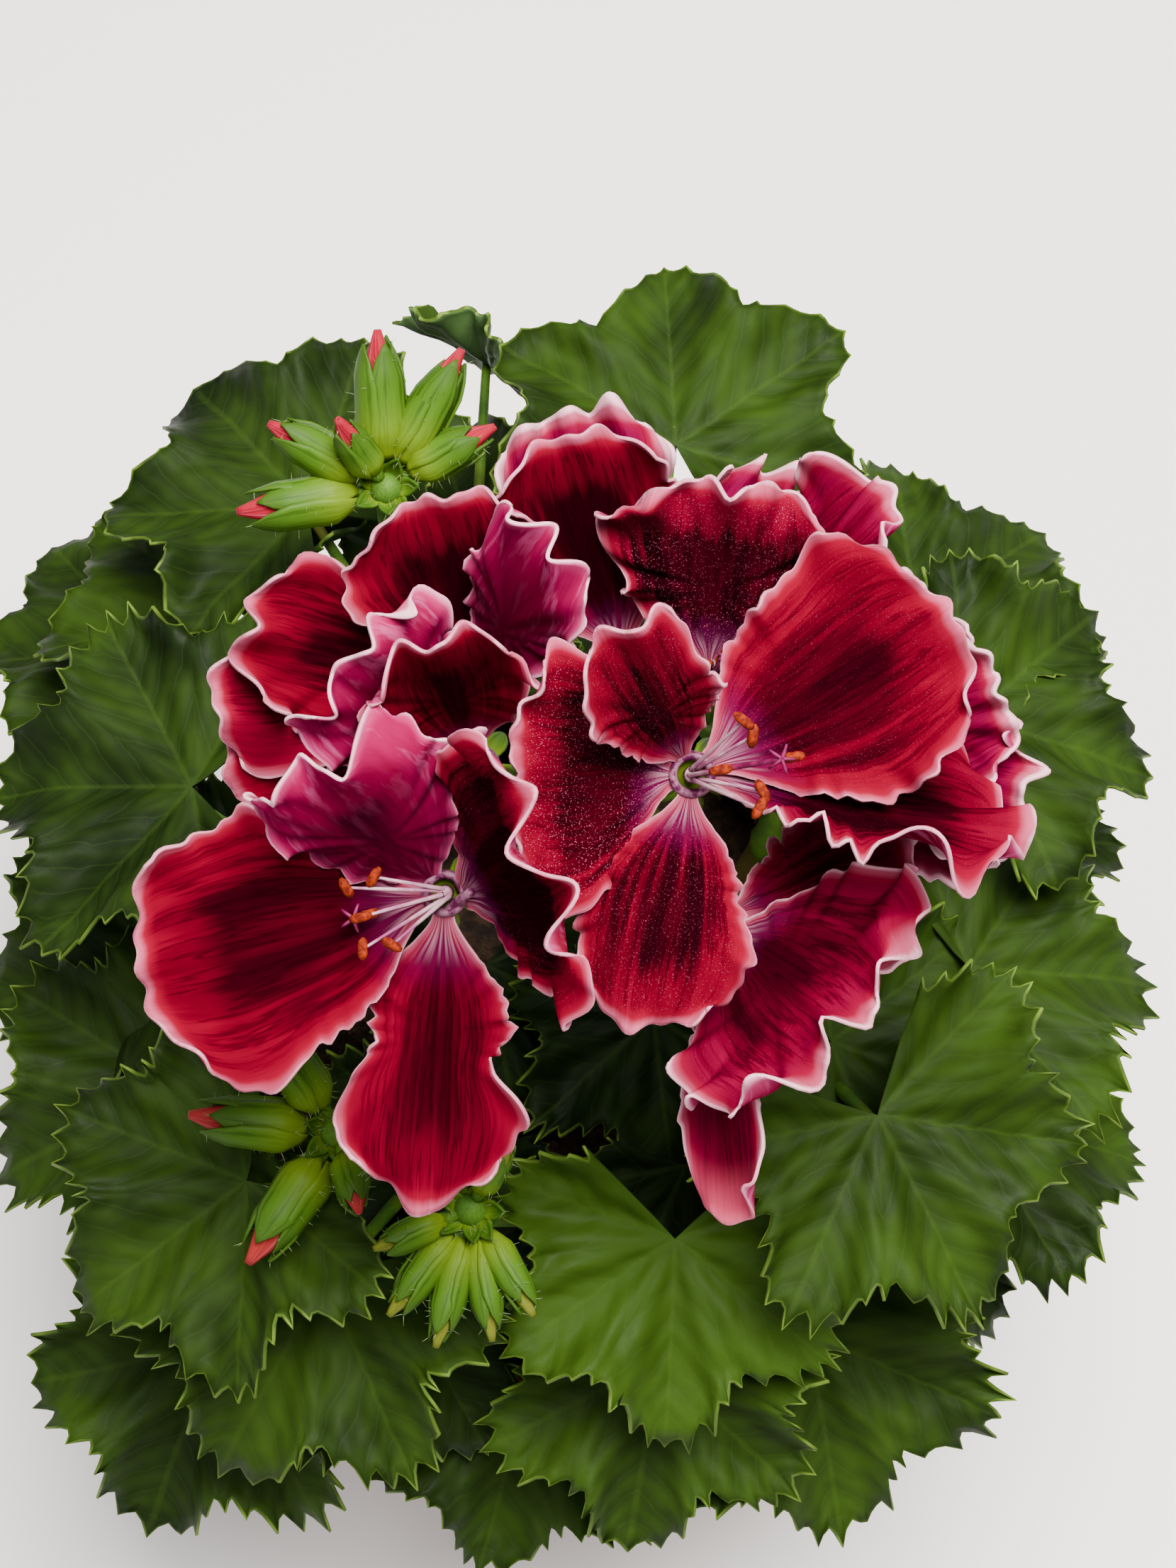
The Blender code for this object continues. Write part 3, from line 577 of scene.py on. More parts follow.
# %% Specks
def specks():
    """Small spots on Object coordinates. Share says how much of the surface they take."""
    made, given, out = group("specks", {"Scale": 2500.0, "Share": 0.3}, ("Speck",))
    edge = 0.78 - given["Share"] * 0.35
    feed(out["Speck"], ramp(noise(coordinates(made), given["Scale"], 1.0, 0.6), edge, edge + 0.06))
    return made


SPECKS = specks()
print("shared patterns:", PETAL_VEINS.name, "and", SPECKS.name)

# %% [markdown]
# ## Petal finishes
#
# The face of a petal has a dark maroon middle with darker veins, a bright red band and a thin, almost white
# margin. How far a point lies from the margin is kept on the blade in mm, so the band follows every ruffle,
# which no plain gradient would do. Veins push the border between the dark and the red to and fro. Some petals
# have painted glints, fine pale specks in the red band, and the lowest one fades towards its end. The back of
# a petal is magenta with a whitish net, with painted shade towards its foot.

# %% Face of a petal
def petal_face():
    """Dark middle, red band and pale rim, laid over each other from the middle to the margin."""
    made, tree = finish("petal face", roughness=0.65, specular=0.0)
    edge, way, seed, dark, pink, painted_glints = marks_of(tree, "edge", "way", "seed", "dark", "pink", "painted_glints")
    broad = use(tree, PETAL_VEINS, Across=8.0, Along=0.8, Seed=seed)
    fine = use(tree, PETAL_VEINS, Across=26.0, Along=1.6, Seed=seed)
    hair = use(tree, PETAL_VEINS, Across=60.0, Along=4.0, Seed=seed)
    painted_glint_speck = use(tree, SPECKS, Scale=6200.0, Share=0.4)["Speck"]
    push = (broad["Streak"] - 0.5) * 14.0 + (fine["Streak"] - 0.5) * 9.0
    depth = edge + push
    red, crimson = blend(pink, "5E0016", "620232"), blend(pink, "4A0010", "560220")
    reach = (depth - ramp(way, 0.45, 0.95, 0.0, 6.0)) * (dark * dark + 0.1)
    darkness = (dark + 1.0) * ramp(broad["Streak"], 0.38, 0.58, 0.3, 0.5)
    band = ramp(edge, 0.8, 2.5) * ramp(depth, 6.0, 12.0, 1.0, 0.3)
    margin = edge + push * 0.06 - pink
    glow = margin - ramp(way, 0.75, 1.0, 0.0, 0.5)
    rim = ramp(broad["Streak"], 0.3, 0.65, 0.5, 1.3)
    base = layers(
        blend(ramp(depth, 1.5, 6.5), red, crimson),
        (ramp(reach, 1.2, 6.5) * darkness, "170004"),
        (fine["Vein"] * ramp(depth, 0.5, 5.0, 0.08, 0.55), "0E0002"),
        (hair["Vein"] * 0.12, "2A0008"),
        (ramp(way + push * 0.012, 0.1, 0.3, 0.8, 0.0), "44042E"),
        (ramp(way, 0.03, 0.2, 0.9, 0.0) * ramp(fine["Streak"], 0.42, 0.6), "9A6A7A"),
        # Painted glints: fine pale specks in the red band, as strong as the petal's tone asks.
        (painted_glint_speck * band * (painted_glints * 0.6), "A4506A"),
        (ramp(glow, 0.0, 2.6, 0.6, 0.0) * rim, "840C28"),
        (ramp(glow, -0.2, 1.2, 0.75, 0.0) * rim, "A44E66"),
        (ramp(margin, -0.4, 0.3, 1.1, 0.0) * rim, "D09AA8"),
        (ramp(way, 0.75, 1.0, 0.0, 0.75) * ramp(dark, 0.0, 0.2, 1.0, 0.0), "A83A52"),
    )
    return paint(made, base, fine["Streak"] + broad["Streak"] * 3.0, relief=0.3, strength=0.22)


# %% Back of a petal
def petal_back():
    """Magenta with a whitish net, darker far from the margin, with painted shade towards the foot, and pale
    at the margin.
    """
    made, tree = finish("petal back", roughness=0.6, specular=0.0)
    edge, way, seed, dark, pink = marks_of(tree, "edge", "way", "seed", "dark", "pink")
    broad = use(tree, PETAL_VEINS, Across=7.0, Along=1.2, Seed=seed)
    fine = use(tree, PETAL_VEINS, Across=18.0, Along=4.0, Seed=seed)
    push = (broad["Streak"] - 0.5) * 14.0
    depth = edge + push
    margin = edge + push * 0.07
    light, deep = blend(pink, "640A22", "80033E"), blend(pink, "480010", "620228")
    base = layers(
        blend(ramp(depth, 1.0, 6.5), light, deep),
        (ramp(depth, 7.0, 12.0), "2A0010"),
        (ramp(fine["Streak"], 0.5, 0.66) * ramp(edge, 7.0, 1.0, 0.05, 0.36), "BC5A8C"),
        # Painted shade: the back darkens towards its foot, where shade falls near the throat. The petal's
        # dark mark sets how much.
        (ramp(way + push * 0.03, 0.35, 0.8, 0.75, 0.0) * ramp(dark, 0.0, 0.5), "3C0016"),
        (ramp(margin, 0.2, 1.8, 0.6, 0.0), "A43864"),
        (ramp(margin, -0.4, 0.6, 0.9, 0.0), "D49CB2"),
    )
    return paint(made, base, fine["Streak"], relief=0.3, strength=0.6)


PETAL_FINISHES = (petal_face(), petal_back())
CLAW_FINISH = clouded("claw", ("805468", "4A1034"), 0.5, 0.1, cloud=(900.0,), border=(0.42, 0.62))
print("petal finishes:", [made.name for made in (*PETAL_FINISHES, CLAW_FINISH)])

# %% [markdown]
# ## Petals
#
# A petal is thin, stands on a narrow claw and is ruffled at its margin. It could be sculpted, but a formula
# gives many petals that differ and keeps them on their solids. Its grid is bent along its length by curl and
# lip, and across by fold. Two waves of its margin are added: the slow ones that the solid has too, and fine
# ruffles that die away within a few millimetres of the edge.

# %% Petal formula
PETAL_THICKNESS = 0.4
PETAL_COLUMNS = 56
PETAL_ROWS = 56
CLAW_START = 1.9
PETAL_OUTLINE = ((0, 0.08), (0.08, 0.18), (0.16, 0.42), (0.27, 0.68), (0.42, 0.87), (0.60, 0.97), (0.76, 1.0),
                 (0.88, 0.97), (0.95, 0.88), (1, 0.72))
ROUNDING = 0.12
SPINE_STEPS = 60
OUTLINE_SMOOTHING = 0.04
BAYS = 0.08
WAIST_REACH = 0.11
RUFFLE = 1.25
RUFFLE_REACH = 3.4
RUFFLE_RATES = (8.0, 13.0, 21.0)
SCALLOP = 0.62
SCALLOP_RATES = (9.0, 17.0, 31.0)
PLEATS = 15
PLEAT_HEIGHT = 0.03
CROWDING = 0.4
LIP_START = 0.6
LEAST_FOLD = 1e-4
LEAST_FRILL = 0.9
EDGE_CENTRE = 0.4


def denser(s):
    """Moves the columns towards the margins, where the ruffles are."""
    return (1 - CROWDING) * s + CROWDING * np.sin(pi / 2 * s)


def half_width(petal, t):
    """Half the width of a petal at a share of its length, with its outline's corners smoothed."""
    share, width = np.array(PETAL_OUTLINE).T
    steps = (-OUTLINE_SMOOTHING, 0, OUTLINE_SMOOTHING)
    return sum(np.interp(t + step, share, width) for step in steps) / 3 * petal.width / 2


def bays(petal, s, t):
    """Slow bays of the two sides of a petal and its waist, as a factor on its width."""
    slow = BAYS * np.sin(9.5 * t + 2.3 * petal.phase + 2.6 * (s > 0)) * np.minimum(1, 2 * t)
    place = np.where(s > 0, petal.waist[2], petal.waist[0])
    depth = np.where(s > 0, petal.waist[3], petal.waist[1])
    return 1 + (slow - depth * np.exp(-(((t - place) / WAIST_REACH) ** 2))) * np.abs(s)


def to_margin(petal, s, t):
    """How far a point of a petal is from its margin, in mm."""
    return np.minimum((1 - np.abs(s)) * half_width(petal, t), (1 - t) * petal.length)


def petal_place(petal, seed):
    """The formula of a petal's middle surface, from its throat, in the head's frame."""
    ahead, side, face = blade_axes(petal.heading, petal.rise, petal.roll)
    start = np.array(petal.start) + np.array(direction(petal.heading, 0)) * CLAW_START
    shares = np.linspace(0, 1, SPINE_STEPS + 1)
    tip_turn = radians(petal.lip) * np.clip((shares - LIP_START) / (1 - LIP_START), 0, 1) ** 2
    slope = radians(petal.curl) * (shares - 0.5) + tip_turn
    middle = (slope[1:] + slope[:-1]) / 2
    far = np.concatenate([[0], np.cumsum(np.cos(middle))]) / SPINE_STEPS
    high = np.concatenate([[0], np.cumsum(np.sin(middle))]) / SPINE_STEPS

    def place(flat_s, t):
        s = denser(flat_s)
        half = half_width(petal, t) * bays(petal, s, t)
        turn = np.interp(t, shares, slope)[:, None]
        tangent = ahead * np.cos(turn) + face * np.sin(turn)
        normal = face * np.cos(turn) - ahead * np.sin(turn)
        fold = np.radians(np.where(s > 0, petal.fold[1], petal.fold[0])) * np.minimum(1, t * 2.2)
        fold = np.where(np.abs(fold) < LEAST_FOLD, LEAST_FOLD, fold)
        across = np.sin(fold * s) / fold * half
        margin = np.sin(2 * pi * petal.waves * t + petal.phase + 1.7 * (s > 0)) * np.minimum(1, 1.6 * t)
        tip = t**5 * np.sin(pi * petal.waves * s + 1.3 * petal.phase)
        lift = (1 - np.cos(fold * s)) / fold * half + petal.frill * (np.abs(s) ** 3 * margin + tip)
        back = -ROUNDING * petal.length * s**2 * t**2
        round_the_edge = np.arctan2(s * half, (t - EDGE_CENTRE) * petal.length)
        near = np.exp(-to_margin(petal, s, t) / RUFFLE_REACH) * np.minimum(1, 2.5 * t)
        ruffle = uneven(round_the_edge, RUFFLE_RATES, seed) * near
        scallop = uneven(round_the_edge, SCALLOP_RATES, seed + 1) * near**2 * SCALLOP
        pleats = PLEAT_HEIGHT * np.cos(PLEATS * pi * s) * np.minimum(1, 2 * t) * (1 - near)
        lift = lift + RUFFLE * (petal.frill - LEAST_FRILL) * ruffle + pleats
        across = across + scallop * np.sin(round_the_edge)
        back = back + scallop * np.cos(round_the_edge)
        spine = ahead * np.interp(t, shares, far)[:, None] + face * np.interp(t, shares, high)[:, None]
        points = start + spine * petal.length + tangent * back[:, None]
        return points + side * across[:, None] + normal * lift[:, None]

    return place


# %% Blooms
THROAT_DEPTH = 2.6
CLAW_RADIUS = 0.8
CLAW_TIP = 0.5
RING_RADIUS = 2.15
RING_THICKNESS = 0.55
RING_DEEPENING = 2.2


def petal_blade(petal, head, seed):
    """One petal in world coordinates, with the numbers that its finish reads."""
    place = petal_place(petal, seed)

    def marks(flat_s, t):
        dark, pink, painted_glints = petal.tone
        edge = to_margin(petal, denser(flat_s), t)
        return {"edge": edge, "way": t, "dark": dark, "pink": pink, "painted_glints": painted_glints, "seed": float(seed)}

    def in_world(s, t):
        return carried(head, place(s, t))

    return blade(PETAL_COLUMNS, PETAL_ROWS, in_world, marks, PETAL_THICKNESS, PETAL_FINISHES)


def throat_ring(head):
    """The ring that the petals stand on."""
    bpy.ops.mesh.primitive_torus_add(
        major_segments=24, minor_segments=10, major_radius=RING_RADIUS * MM, minor_radius=RING_THICKNESS * MM
    )
    ring = bpy.context.object
    ring.data.transform(Matrix.Diagonal((1, 1, RING_DEEPENING, 1)))
    ring.data.transform(Matrix.Translation(head.translation * MM) @ head.to_3x3().to_4x4())
    ring.data.materials.append(CLAW_FINISH)
    ring.data.shade_smooth()
    return ring


def bloom(name, throat, petals, first_seed):
    """The petals of a bloom on their ring. A petal that stands off the ring gets a claw that bends to it."""
    head = HEAD_FRAME @ Matrix.Translation(throat)
    pieces = []
    for index, petal in enumerate(petals):
        pieces.append(petal_blade(petal, head, first_seed + index))
        start = Vector(petal.start)
        if start.length:
            near = Vector((start.x, start.y, 0)).normalized() * RING_RADIUS
            root = start + direction(petal.heading, 0) * CLAW_START
            beyond = root + direction(petal.heading, petal.rise) * CLAW_START * 2
            curve = [head @ place for place in bent(near, root.lerp(near, 0.3), beyond, 8)]
            pieces.append(stalk(curve, tapered(CLAW_RADIUS, CLAW_TIP, 9), CLAW_FINISH, sides=8))
    pieces.append(throat_ring(head))
    return joined(name + "_petals", pieces)


# %% [markdown]
# ## Green finishes
#
# A leaf has a main vein to each of its five lobes, with side veins that leave it at a slant. The angle round
# the petiole comes from the UV map and the distance from it is kept on the blade, so the pattern is plain
# geometry: the distance from the nearest main vein, and a row of slanted lines. That keeps it sharp where a
# stretched noise would blur. The toothed margin has a thin light outline.

# %% Veins of a leaf
LEAF_LOBES = 5
SIDE_VEIN_PITCH = 4.2
SIDE_VEIN_SLANT = 1.1


def leaf_veins():
    """Main veins to the lobes, slanted side veins, and the soft quilting between them."""
    made, given, out = group(
        "leaf veins", {"Reach": 10.0, "Edge": 5.0, "Spread": 2.36}, ("Main", "Side", "Quilt")
    )
    sector = radians(LEAF_SPREAD / LEAF_LOBES) * 2
    angle = (across_and_along(made)[0] - 0.5) * (given["Spread"] * 2.0)
    off = angle - maths("ROUND", angle / sector) * sector
    across = abs(given["Reach"] * maths("SINE", off))
    ahead = given["Reach"] * maths("COSINE", off)
    rows = ahead + noise(coordinates(made), 220.0) * 2.4 - across * SIDE_VEIN_SLANT
    near = abs(maths("FRACT", rows / SIDE_VEIN_PITCH) - 0.5) * 2.0
    feed(out["Main"], ramp(across, 0.1, 0.55, 1.0, 0.0))
    feed(out["Side"], ramp(near, 0.0, 0.14, 1.0, 0.0) * ramp(given["Edge"], 0.0, 2.0))
    feed(out["Quilt"], ramp(near, 0.0, 1.0))
    return made


LEAF_VEINS = leaf_veins()


# %% Leaf and stalk finishes
def leaf_finish(name, dark, light, vein, outline, relief):
    """Green in soft clouds between two tones, set lighter or darker by each leaf's tone, which is partly
    painted shade; with veins, a light outline on the teeth, and down.
    """
    made, tree = finish(name, roughness=0.6, specular=0.06)
    edge, tone, reach, spread, tip = marks_of(tree, "edge", "tone", "reach", "spread", "tip")
    veins = use(tree, LEAF_VEINS, Reach=reach, Edge=edge, Spread=spread)
    clouds = noise(coordinates(tree), 70.0, 3.0)
    # The leaf's tone, which is partly painted shade, sets how dark its green is.
    shade = tone + (clouds - 0.5) * 1.2 + (veins["Quilt"] - 0.5) * 0.12
    base = layers(
        blend(ramp(shade, 0.0, 1.1), dark, light),
        (veins["Side"] * 0.07, vein),
        (veins["Main"] * 0.1, vein),
        (ramp(edge, 0.0, 0.4, 0.8, 0.0) * ramp(tip, -0.2, 0.7, 0.25, 1.0), outline),
    )
    down = use(tree, SPECKS, Scale=5200.0, Share=0.5)["Speck"]
    dryness = ramp(clouds, 0.3, 0.7, 0.5, 0.7)
    return paint(made, base, veins["Quilt"] + down * 0.1, relief, strength=0.7, roughness=dryness)


def stalk_finish(name, young, old, tinge, share):
    """Downy green with a warm tinge in clouds."""
    made, tree = finish(name, roughness=0.55, specular=0.1)
    place = coordinates(tree)
    base = blend(ramp(noise(place, 160.0, 3.0), 0.35, 0.65), old, young)
    base = blend(ramp(noise(place, 70.0), 0.5, 0.7) * share, base, tinge)
    down = use(tree, SPECKS, Scale=4200.0, Share=0.6)["Speck"]
    return paint(made, base, down, relief=0.12, strength=0.7)


LEAF_FINISHES = (
    leaf_finish("leaf face", "0B1604", "2A400D", "405A1C", "66802E", 0.16),
    leaf_finish("leaf back", "20301A", "3E582C", "5E7846", "70884A", -0.16),
)
STALK_FINISH = stalk_finish("green stalk", "486A1C", "2E4C14", "5A2C18", 0.35)
STEM_FINISH = stalk_finish("stem", "42601E", "2A4014", "483018", 0.7)
print("green finishes:", [made.name for made in (*LEAF_FINISHES, STALK_FINISH, STEM_FINISH)])

# %% [markdown]
# ## Leafy shoots
#
# The plant has short stems with soft, round, lobed leaves on long petioles. Cutting each outline by hand
# would take long and give no pleats, so a leaf is a grid too, spread round its petiole like a fan of 270
# degrees. Its five lobes, its pleats and its arch follow the solid's formula. The teeth are a saw wave on the
# outermost rows, with four columns to each tooth so that they stay sharp, and the main veins sink in shallow
# grooves.

# %% Leaf formula
LEAF_THICKNESS = 0.45
LEAF_TEETH = 40
LEAF_COLUMNS = 4 * LEAF_TEETH
LEAF_ROWS = 13
LEAF_REACH = 0.56
LEAF_SHORTENING = 0.22
LOBE_ANGLE = radians(2 * LEAF_SPREAD / LEAF_LOBES)
LOBE_DEPTH = 0.14
LOBE_BREADTH = 2.8
LEAF_CUP = 0.15
LEAF_WAVE = 2.0
LEAF_PLEAT = 0.05
LEAF_ARCH = 20
TOOTH_DEPTH = 0.075
TOOTH_SHIFT = 0.035
GROOVE = 0.8
GROOVE_WIDTH = 1.5
RIBS = 15
RIB_HEIGHT = 0.75
RIM_WAVE = 1.3
RIM_RATES = (1.0, 2.3, 3.7)
TOOTH_HEIGHTS = (0.3, 1.3)
TOOTH_SHARPNESS = 1.6
TOOTH_SHIFT_RATES = (17.0, 29.0)
BLUNTER_TO_THE_BACK = ((10, 50), (1, 0.4))


def leaf_reach(leaf, s, t):
    """How far a point of a leaf without its teeth is from the petiole, in mm, and where it is in its lobe."""
    angle = radians(leaf.spread) * s
    lobes = 1 - 2 * np.abs(np.sin(angle * pi / LOBE_ANGLE)) ** LOBE_BREADTH
    shortening = LEAF_SHORTENING * (1 - np.cos(s * pi / 2))
    return LEAF_REACH * leaf.size * (1 - shortening) * t * (1 + LOBE_DEPTH * lobes * t), lobes


def teeth(s, seed):
    """Sharp teeth with round bays between them along the margin, of drawn heights."""
    heights = np.random.default_rng(seed).uniform(*TOOTH_HEIGHTS, LEAF_TEETH + 1)
    tooth = (s + 1) / 2 * LEAF_TEETH
    return (1 - TOOTH_SHARPNESS * np.abs(np.sin(pi * tooth))) * heights[np.round(tooth).astype(int)]


def leaf_place(leaf, seed):
    """The formula of a leaf's middle surface, in the world. t goes from the petiole to the rim."""
    ahead, side, face = blade_axes(leaf.azimuth, -leaf.droop, leaf.roll)

    def place(s, t):
        radius, lobes = leaf_reach(leaf, s, t)
        shift = TOOTH_SHIFT * uneven(s, TOOTH_SHIFT_RATES, seed + 5)
        angle = radians(leaf.spread) * s + shift * (1 - s**2) * t
        off = angle - np.round(angle / LOBE_ANGLE) * LOBE_ANGLE
        groove = -GROOVE * np.exp(-((radius * np.sin(off) / GROOVE_WIDTH) ** 2)) * np.minimum(1, 4 * t)
        depth = TOOTH_DEPTH * np.interp(leaf.seat[1], *BLUNTER_TO_THE_BACK)
        toothed = radius * (1 + depth * teeth(s, seed) * t**10)
        across, forward = toothed * np.sin(angle), toothed * np.cos(angle)
        lift = LEAF_CUP * radius * t + LEAF_WAVE * t**2 * np.sin(3 * angle) + groove
        lift = lift - LEAF_PLEAT * leaf.size * t**2 * lobes
        lift = lift - radians(LEAF_ARCH) * forward * np.abs(forward) / leaf.size
        lift = lift + RIB_HEIGHT * np.cos(angle * RIBS * pi / radians(LEAF_SPREAD)) * t**2
        lift = lift + RIM_WAVE * uneven(angle * 3 + 4 * t, RIM_RATES, seed) * t**3
        level = np.array(leaf.seat) + side * across[:, None] + ahead * forward[:, None]
        return level + face * lift[:, None]

    return place


# %% Shoots
STEM_RADIUS = 3.0
STEM_TIP_SHARE = 0.75
STEM_POINTS = 40
NODE_SWELLING = 0.28
SWELLING_LENGTH = 0.025
FIRST_LEAF_SEED = 100
PETIOLE_RADIUS = 1.1
PETIOLE_TIP = 0.65
PETIOLE_SINK = 0.3
PETIOLE_REACH = 0.12
PETIOLE_BEND = Vector((0.65, 0.65, 0.7))
PETIOLE_PIECES = 14


def petiole(leaf, stem):
    """The stalk of a leaf, from its node on the stem to the underside of the blade."""
    knot = along(stem, leaf.node)
    ends = leaf_place(leaf, 0)(np.array([0.0, 0.0]), np.array([0.0, PETIOLE_REACH]))
    below = direction(leaf.azimuth, 90 - leaf.droop) * cos(radians(leaf.roll)) * PETIOLE_SINK
    under = Vector(ends[1]) - below
    control = knot + (under - knot) * PETIOLE_BEND
    radii = tapered(PETIOLE_RADIUS, PETIOLE_TIP, PETIOLE_PIECES + 1)
    return stalk(bent(knot, control, under, PETIOLE_PIECES), radii, STALK_FINISH, sides=8)


def leafy_shoot(name, stem, leaves, first_seed):
    """A stem that swells at its nodes, with its petioles and leaves."""
    middle = Vector(stem[1]) * 2 - (Vector(stem[0]) + Vector(stem[2])) / 2
    points = bent(stem[0], middle, stem[2], STEM_POINTS - 1)
    radii = tapered(STEM_RADIUS, STEM_RADIUS * STEM_TIP_SHARE, STEM_POINTS)
    for index in range(STEM_POINTS):
        share = index / (STEM_POINTS - 1)
        swelling = max(np.exp(-(((share - leaf.node) / SWELLING_LENGTH) ** 2)) for leaf in leaves)
        radii[index] *= 1 + NODE_SWELLING * swelling
    pieces = [stalk(points, radii, STEM_FINISH)]
    for index, leaf in enumerate(leaves):
        seed = first_seed + index

        def marks(s, t, leaf=leaf, seed=seed):
            reach, lobes = leaf_reach(leaf, s, t)
            edge, spread = (1 - t) * LEAF_REACH * leaf.size, radians(leaf.spread)
            return {"edge": edge, "reach": reach, "spread": spread, "tone": leaf.tone, "tip": teeth(s, seed)}

        pieces.append(petiole(leaf, stem))
        pieces.append(
            blade(LEAF_COLUMNS, LEAF_ROWS, leaf_place(leaf, seed), marks, LEAF_THICKNESS, LEAF_FINISHES)
        )
    return joined(name + "_foliage", pieces)


for index, (name, (stem, leaves)) in enumerate(SHOOTS.items()):
    placed(leafy_shoot(name, stem, leaves, FIRST_LEAF_SEED + 10 * index), "leaf", name)

# %% [markdown]
# ## The flower head
#
# The blooms stand close, so that most of them hide part of a neighbour. All their points and finishes are
# there now, so a loop makes them, each with its petals on a small ring.

# %% Make the blooms
for index, (name, (throat, petals, tuft)) in enumerate(BLOOMS.items()):
    placed(bloom(name, throat, petals, 10 * index), "petal", name)

# %% [markdown]
# ## Stalk, pedicels and calyces
#
# The flower stalk ends in a hub, and a pedicel bends from it to each bloom. A calyx is a small cup with five
# pointed sepals. Round parts are curves with a bevel, which taper with their points. A sepal is a narrow
# blade that is widest below its middle, so one formula makes them all.

# %% Sepals
SEPAL_OUTLINE = ((0, 0.55), (0.15, 0.85), (0.35, 1.0), (0.6, 0.82), (0.85, 0.4), (1, 0.04))
SEPAL_THICKNESS = 0.35


def sepal_finish():
    """Fresh green with fine streaks, lighter at the foot and darker at the tip."""
    made, tree = finish("sepal", roughness=0.5, specular=0.1)
    (way,) = marks_of(tree, "way")
    streaks = use(tree, PETAL_VEINS, Across=9.0, Along=1.2, Seed=3.0)
    base = layers(
        blend(ramp(streaks["Streak"], 0.35, 0.65), "2A4608", "3C5C10"),
        (streaks["Vein"] * 0.2, "587428"),
        (ramp(way, 0.0, 0.6, 0.7, 0.0), "64780E"),
        (ramp(way, 0.5, 1.0, 0.0, 0.6), "243C0C"),
    )
    return paint(made, base, streaks["Streak"], relief=0.15, strength=0.4)


SEPAL_FINISH = sepal_finish()


def sepal(root, ahead, face, length, width, curl, cup):
    """A pointed blade. Curl bends it towards its face, in degrees, and cup rolls its sides up."""
    side = ahead.cross(face)
    root, ahead, face, side = (np.array(way) for way in (root, ahead, face, side))
    share, outline = np.array(SEPAL_OUTLINE).T

    def place(s, t):
        half = np.interp(t, share, outline) * width / 2
        turn = radians(curl) * t
        bend = max(abs(radians(curl)), 0.001)
        far = length * np.sin(bend * t) / bend
        high = length * (1 - np.cos(bend * t)) / bend * np.sign(curl)
        out = face * np.cos(turn)[:, None] - ahead * np.sin(turn)[:, None]
        spine = root + ahead * far[:, None] + face * high[:, None]
        return spine + side * (half * s)[:, None] + out * (cup * half * s**2)[:, None]

    return blade(6, 12, place, lambda s, t: {"way": t}, SEPAL_THICKNESS, (SEPAL_FINISH,))


print("sepal finish:", SEPAL_FINISH.name)

# %% Flower stalk
GAP = 0.3
PEDUNCLE_RADIUS = 2.0
PEDUNCLE_RISE = 24
PEDICEL_RADIUS = 1.0
PEDICEL_BEND = 0.8
PEDICEL_SAG = 3
HUB_RADIUS = 3.2
UMBEL_CENTRE = Vector((4, 0, -36))
CALYX_LENGTH = 7
CALYX_RADIUS = 2.3
CALYX_ROUNDNESS = 0.7
SEPALS = 5
SEPAL_LENGTH = 7.5
SEPAL_WIDTH = 2.6
SEPAL_DROOP = 50
SEPAL_TURN = 56
SEPAL_REACH = 1.4
SEPAL_DEPTH = 1.6
SEPAL_CURL = -25
SEPAL_CUP = 0.5


def stem_tip(shoot):
    """Where a stalk that stands on the tip of a shoot starts, and its way there."""
    stem = SHOOTS[shoot][0]
    way = (Vector(stem[-1]) - Vector(stem[-2])).normalized()
    return Vector(stem[-1]) + way * GAP, way


def knob(centre, radius):
    """A small round hub."""
    bpy.ops.object.select_all(action="DESELECT")
    bpy.ops.mesh.primitive_ico_sphere_add(subdivisions=3, radius=radius * MM)
    thing = bpy.context.object
    thing.data.transform(Matrix.Translation(centre * MM))
    thing.data.materials.append(STALK_FINISH)
    thing.data.shade_smooth()
    return thing


def flower_stalk():
    """The stalk of the flower head, its hub, and a pedicel and a calyx for each bloom."""
    foot, way = stem_tip("shoot_7")
    umbel = HEAD_FRAME @ UMBEL_CENTRE
    peduncle = bent(foot, foot + way * PEDUNCLE_RISE, umbel, 24)
    pieces = [stalk(peduncle, tapered(PEDUNCLE_RADIUS, PEDUNCLE_RADIUS, 25), STALK_FINISH)]
    pieces.append(knob(umbel, HUB_RADIUS))
    for throat, petals, tuft in BLOOMS.values():
        top = Vector(throat) - Vector((0, 0, THROAT_DEPTH / 2 + GAP))
        cup = top - Vector((0, 0, CALYX_LENGTH))
        control = UMBEL_CENTRE.lerp(cup, PEDICEL_BEND)
        control.z = (UMBEL_CENTRE.z + cup.z) / 2 - PEDICEL_SAG
        curve = [HEAD_FRAME @ place for place in bent(UMBEL_CENTRE, control, cup, 16)]
        pieces.append(stalk(curve, tapered(PEDICEL_RADIUS, PEDICEL_RADIUS, 17), STALK_FINISH, sides=10))
        shares = [index / 8 for index in range(9)]
        rise = [HEAD_FRAME @ (cup.lerp(top, share)) for share in shares]
        widening = CALYX_RADIUS - PEDICEL_RADIUS
        radii = [PEDICEL_RADIUS + widening * share**CALYX_ROUNDNESS for share in shares]
        pieces.append(stalk(rise, radii, SEPAL_FINISH))
        for index in range(SEPALS):
            turn = 360 * index / SEPALS + SEPAL_TURN
            root = HEAD_FRAME @ (top + direction(turn, 0) * SEPAL_REACH - Vector((0, 0, SEPAL_DEPTH)))
            ahead = HEAD_TURN @ direction(turn, -SEPAL_DROOP)
            face = HEAD_TURN @ direction(turn, 90 - SEPAL_DROOP)
            pieces.append(sepal(root, ahead, face, SEPAL_LENGTH, SEPAL_WIDTH, SEPAL_CURL, SEPAL_CUP))
    return joined("flower_stalk_and_calyces", pieces)


placed(flower_stalk(), "stalk", "flower_stalk")

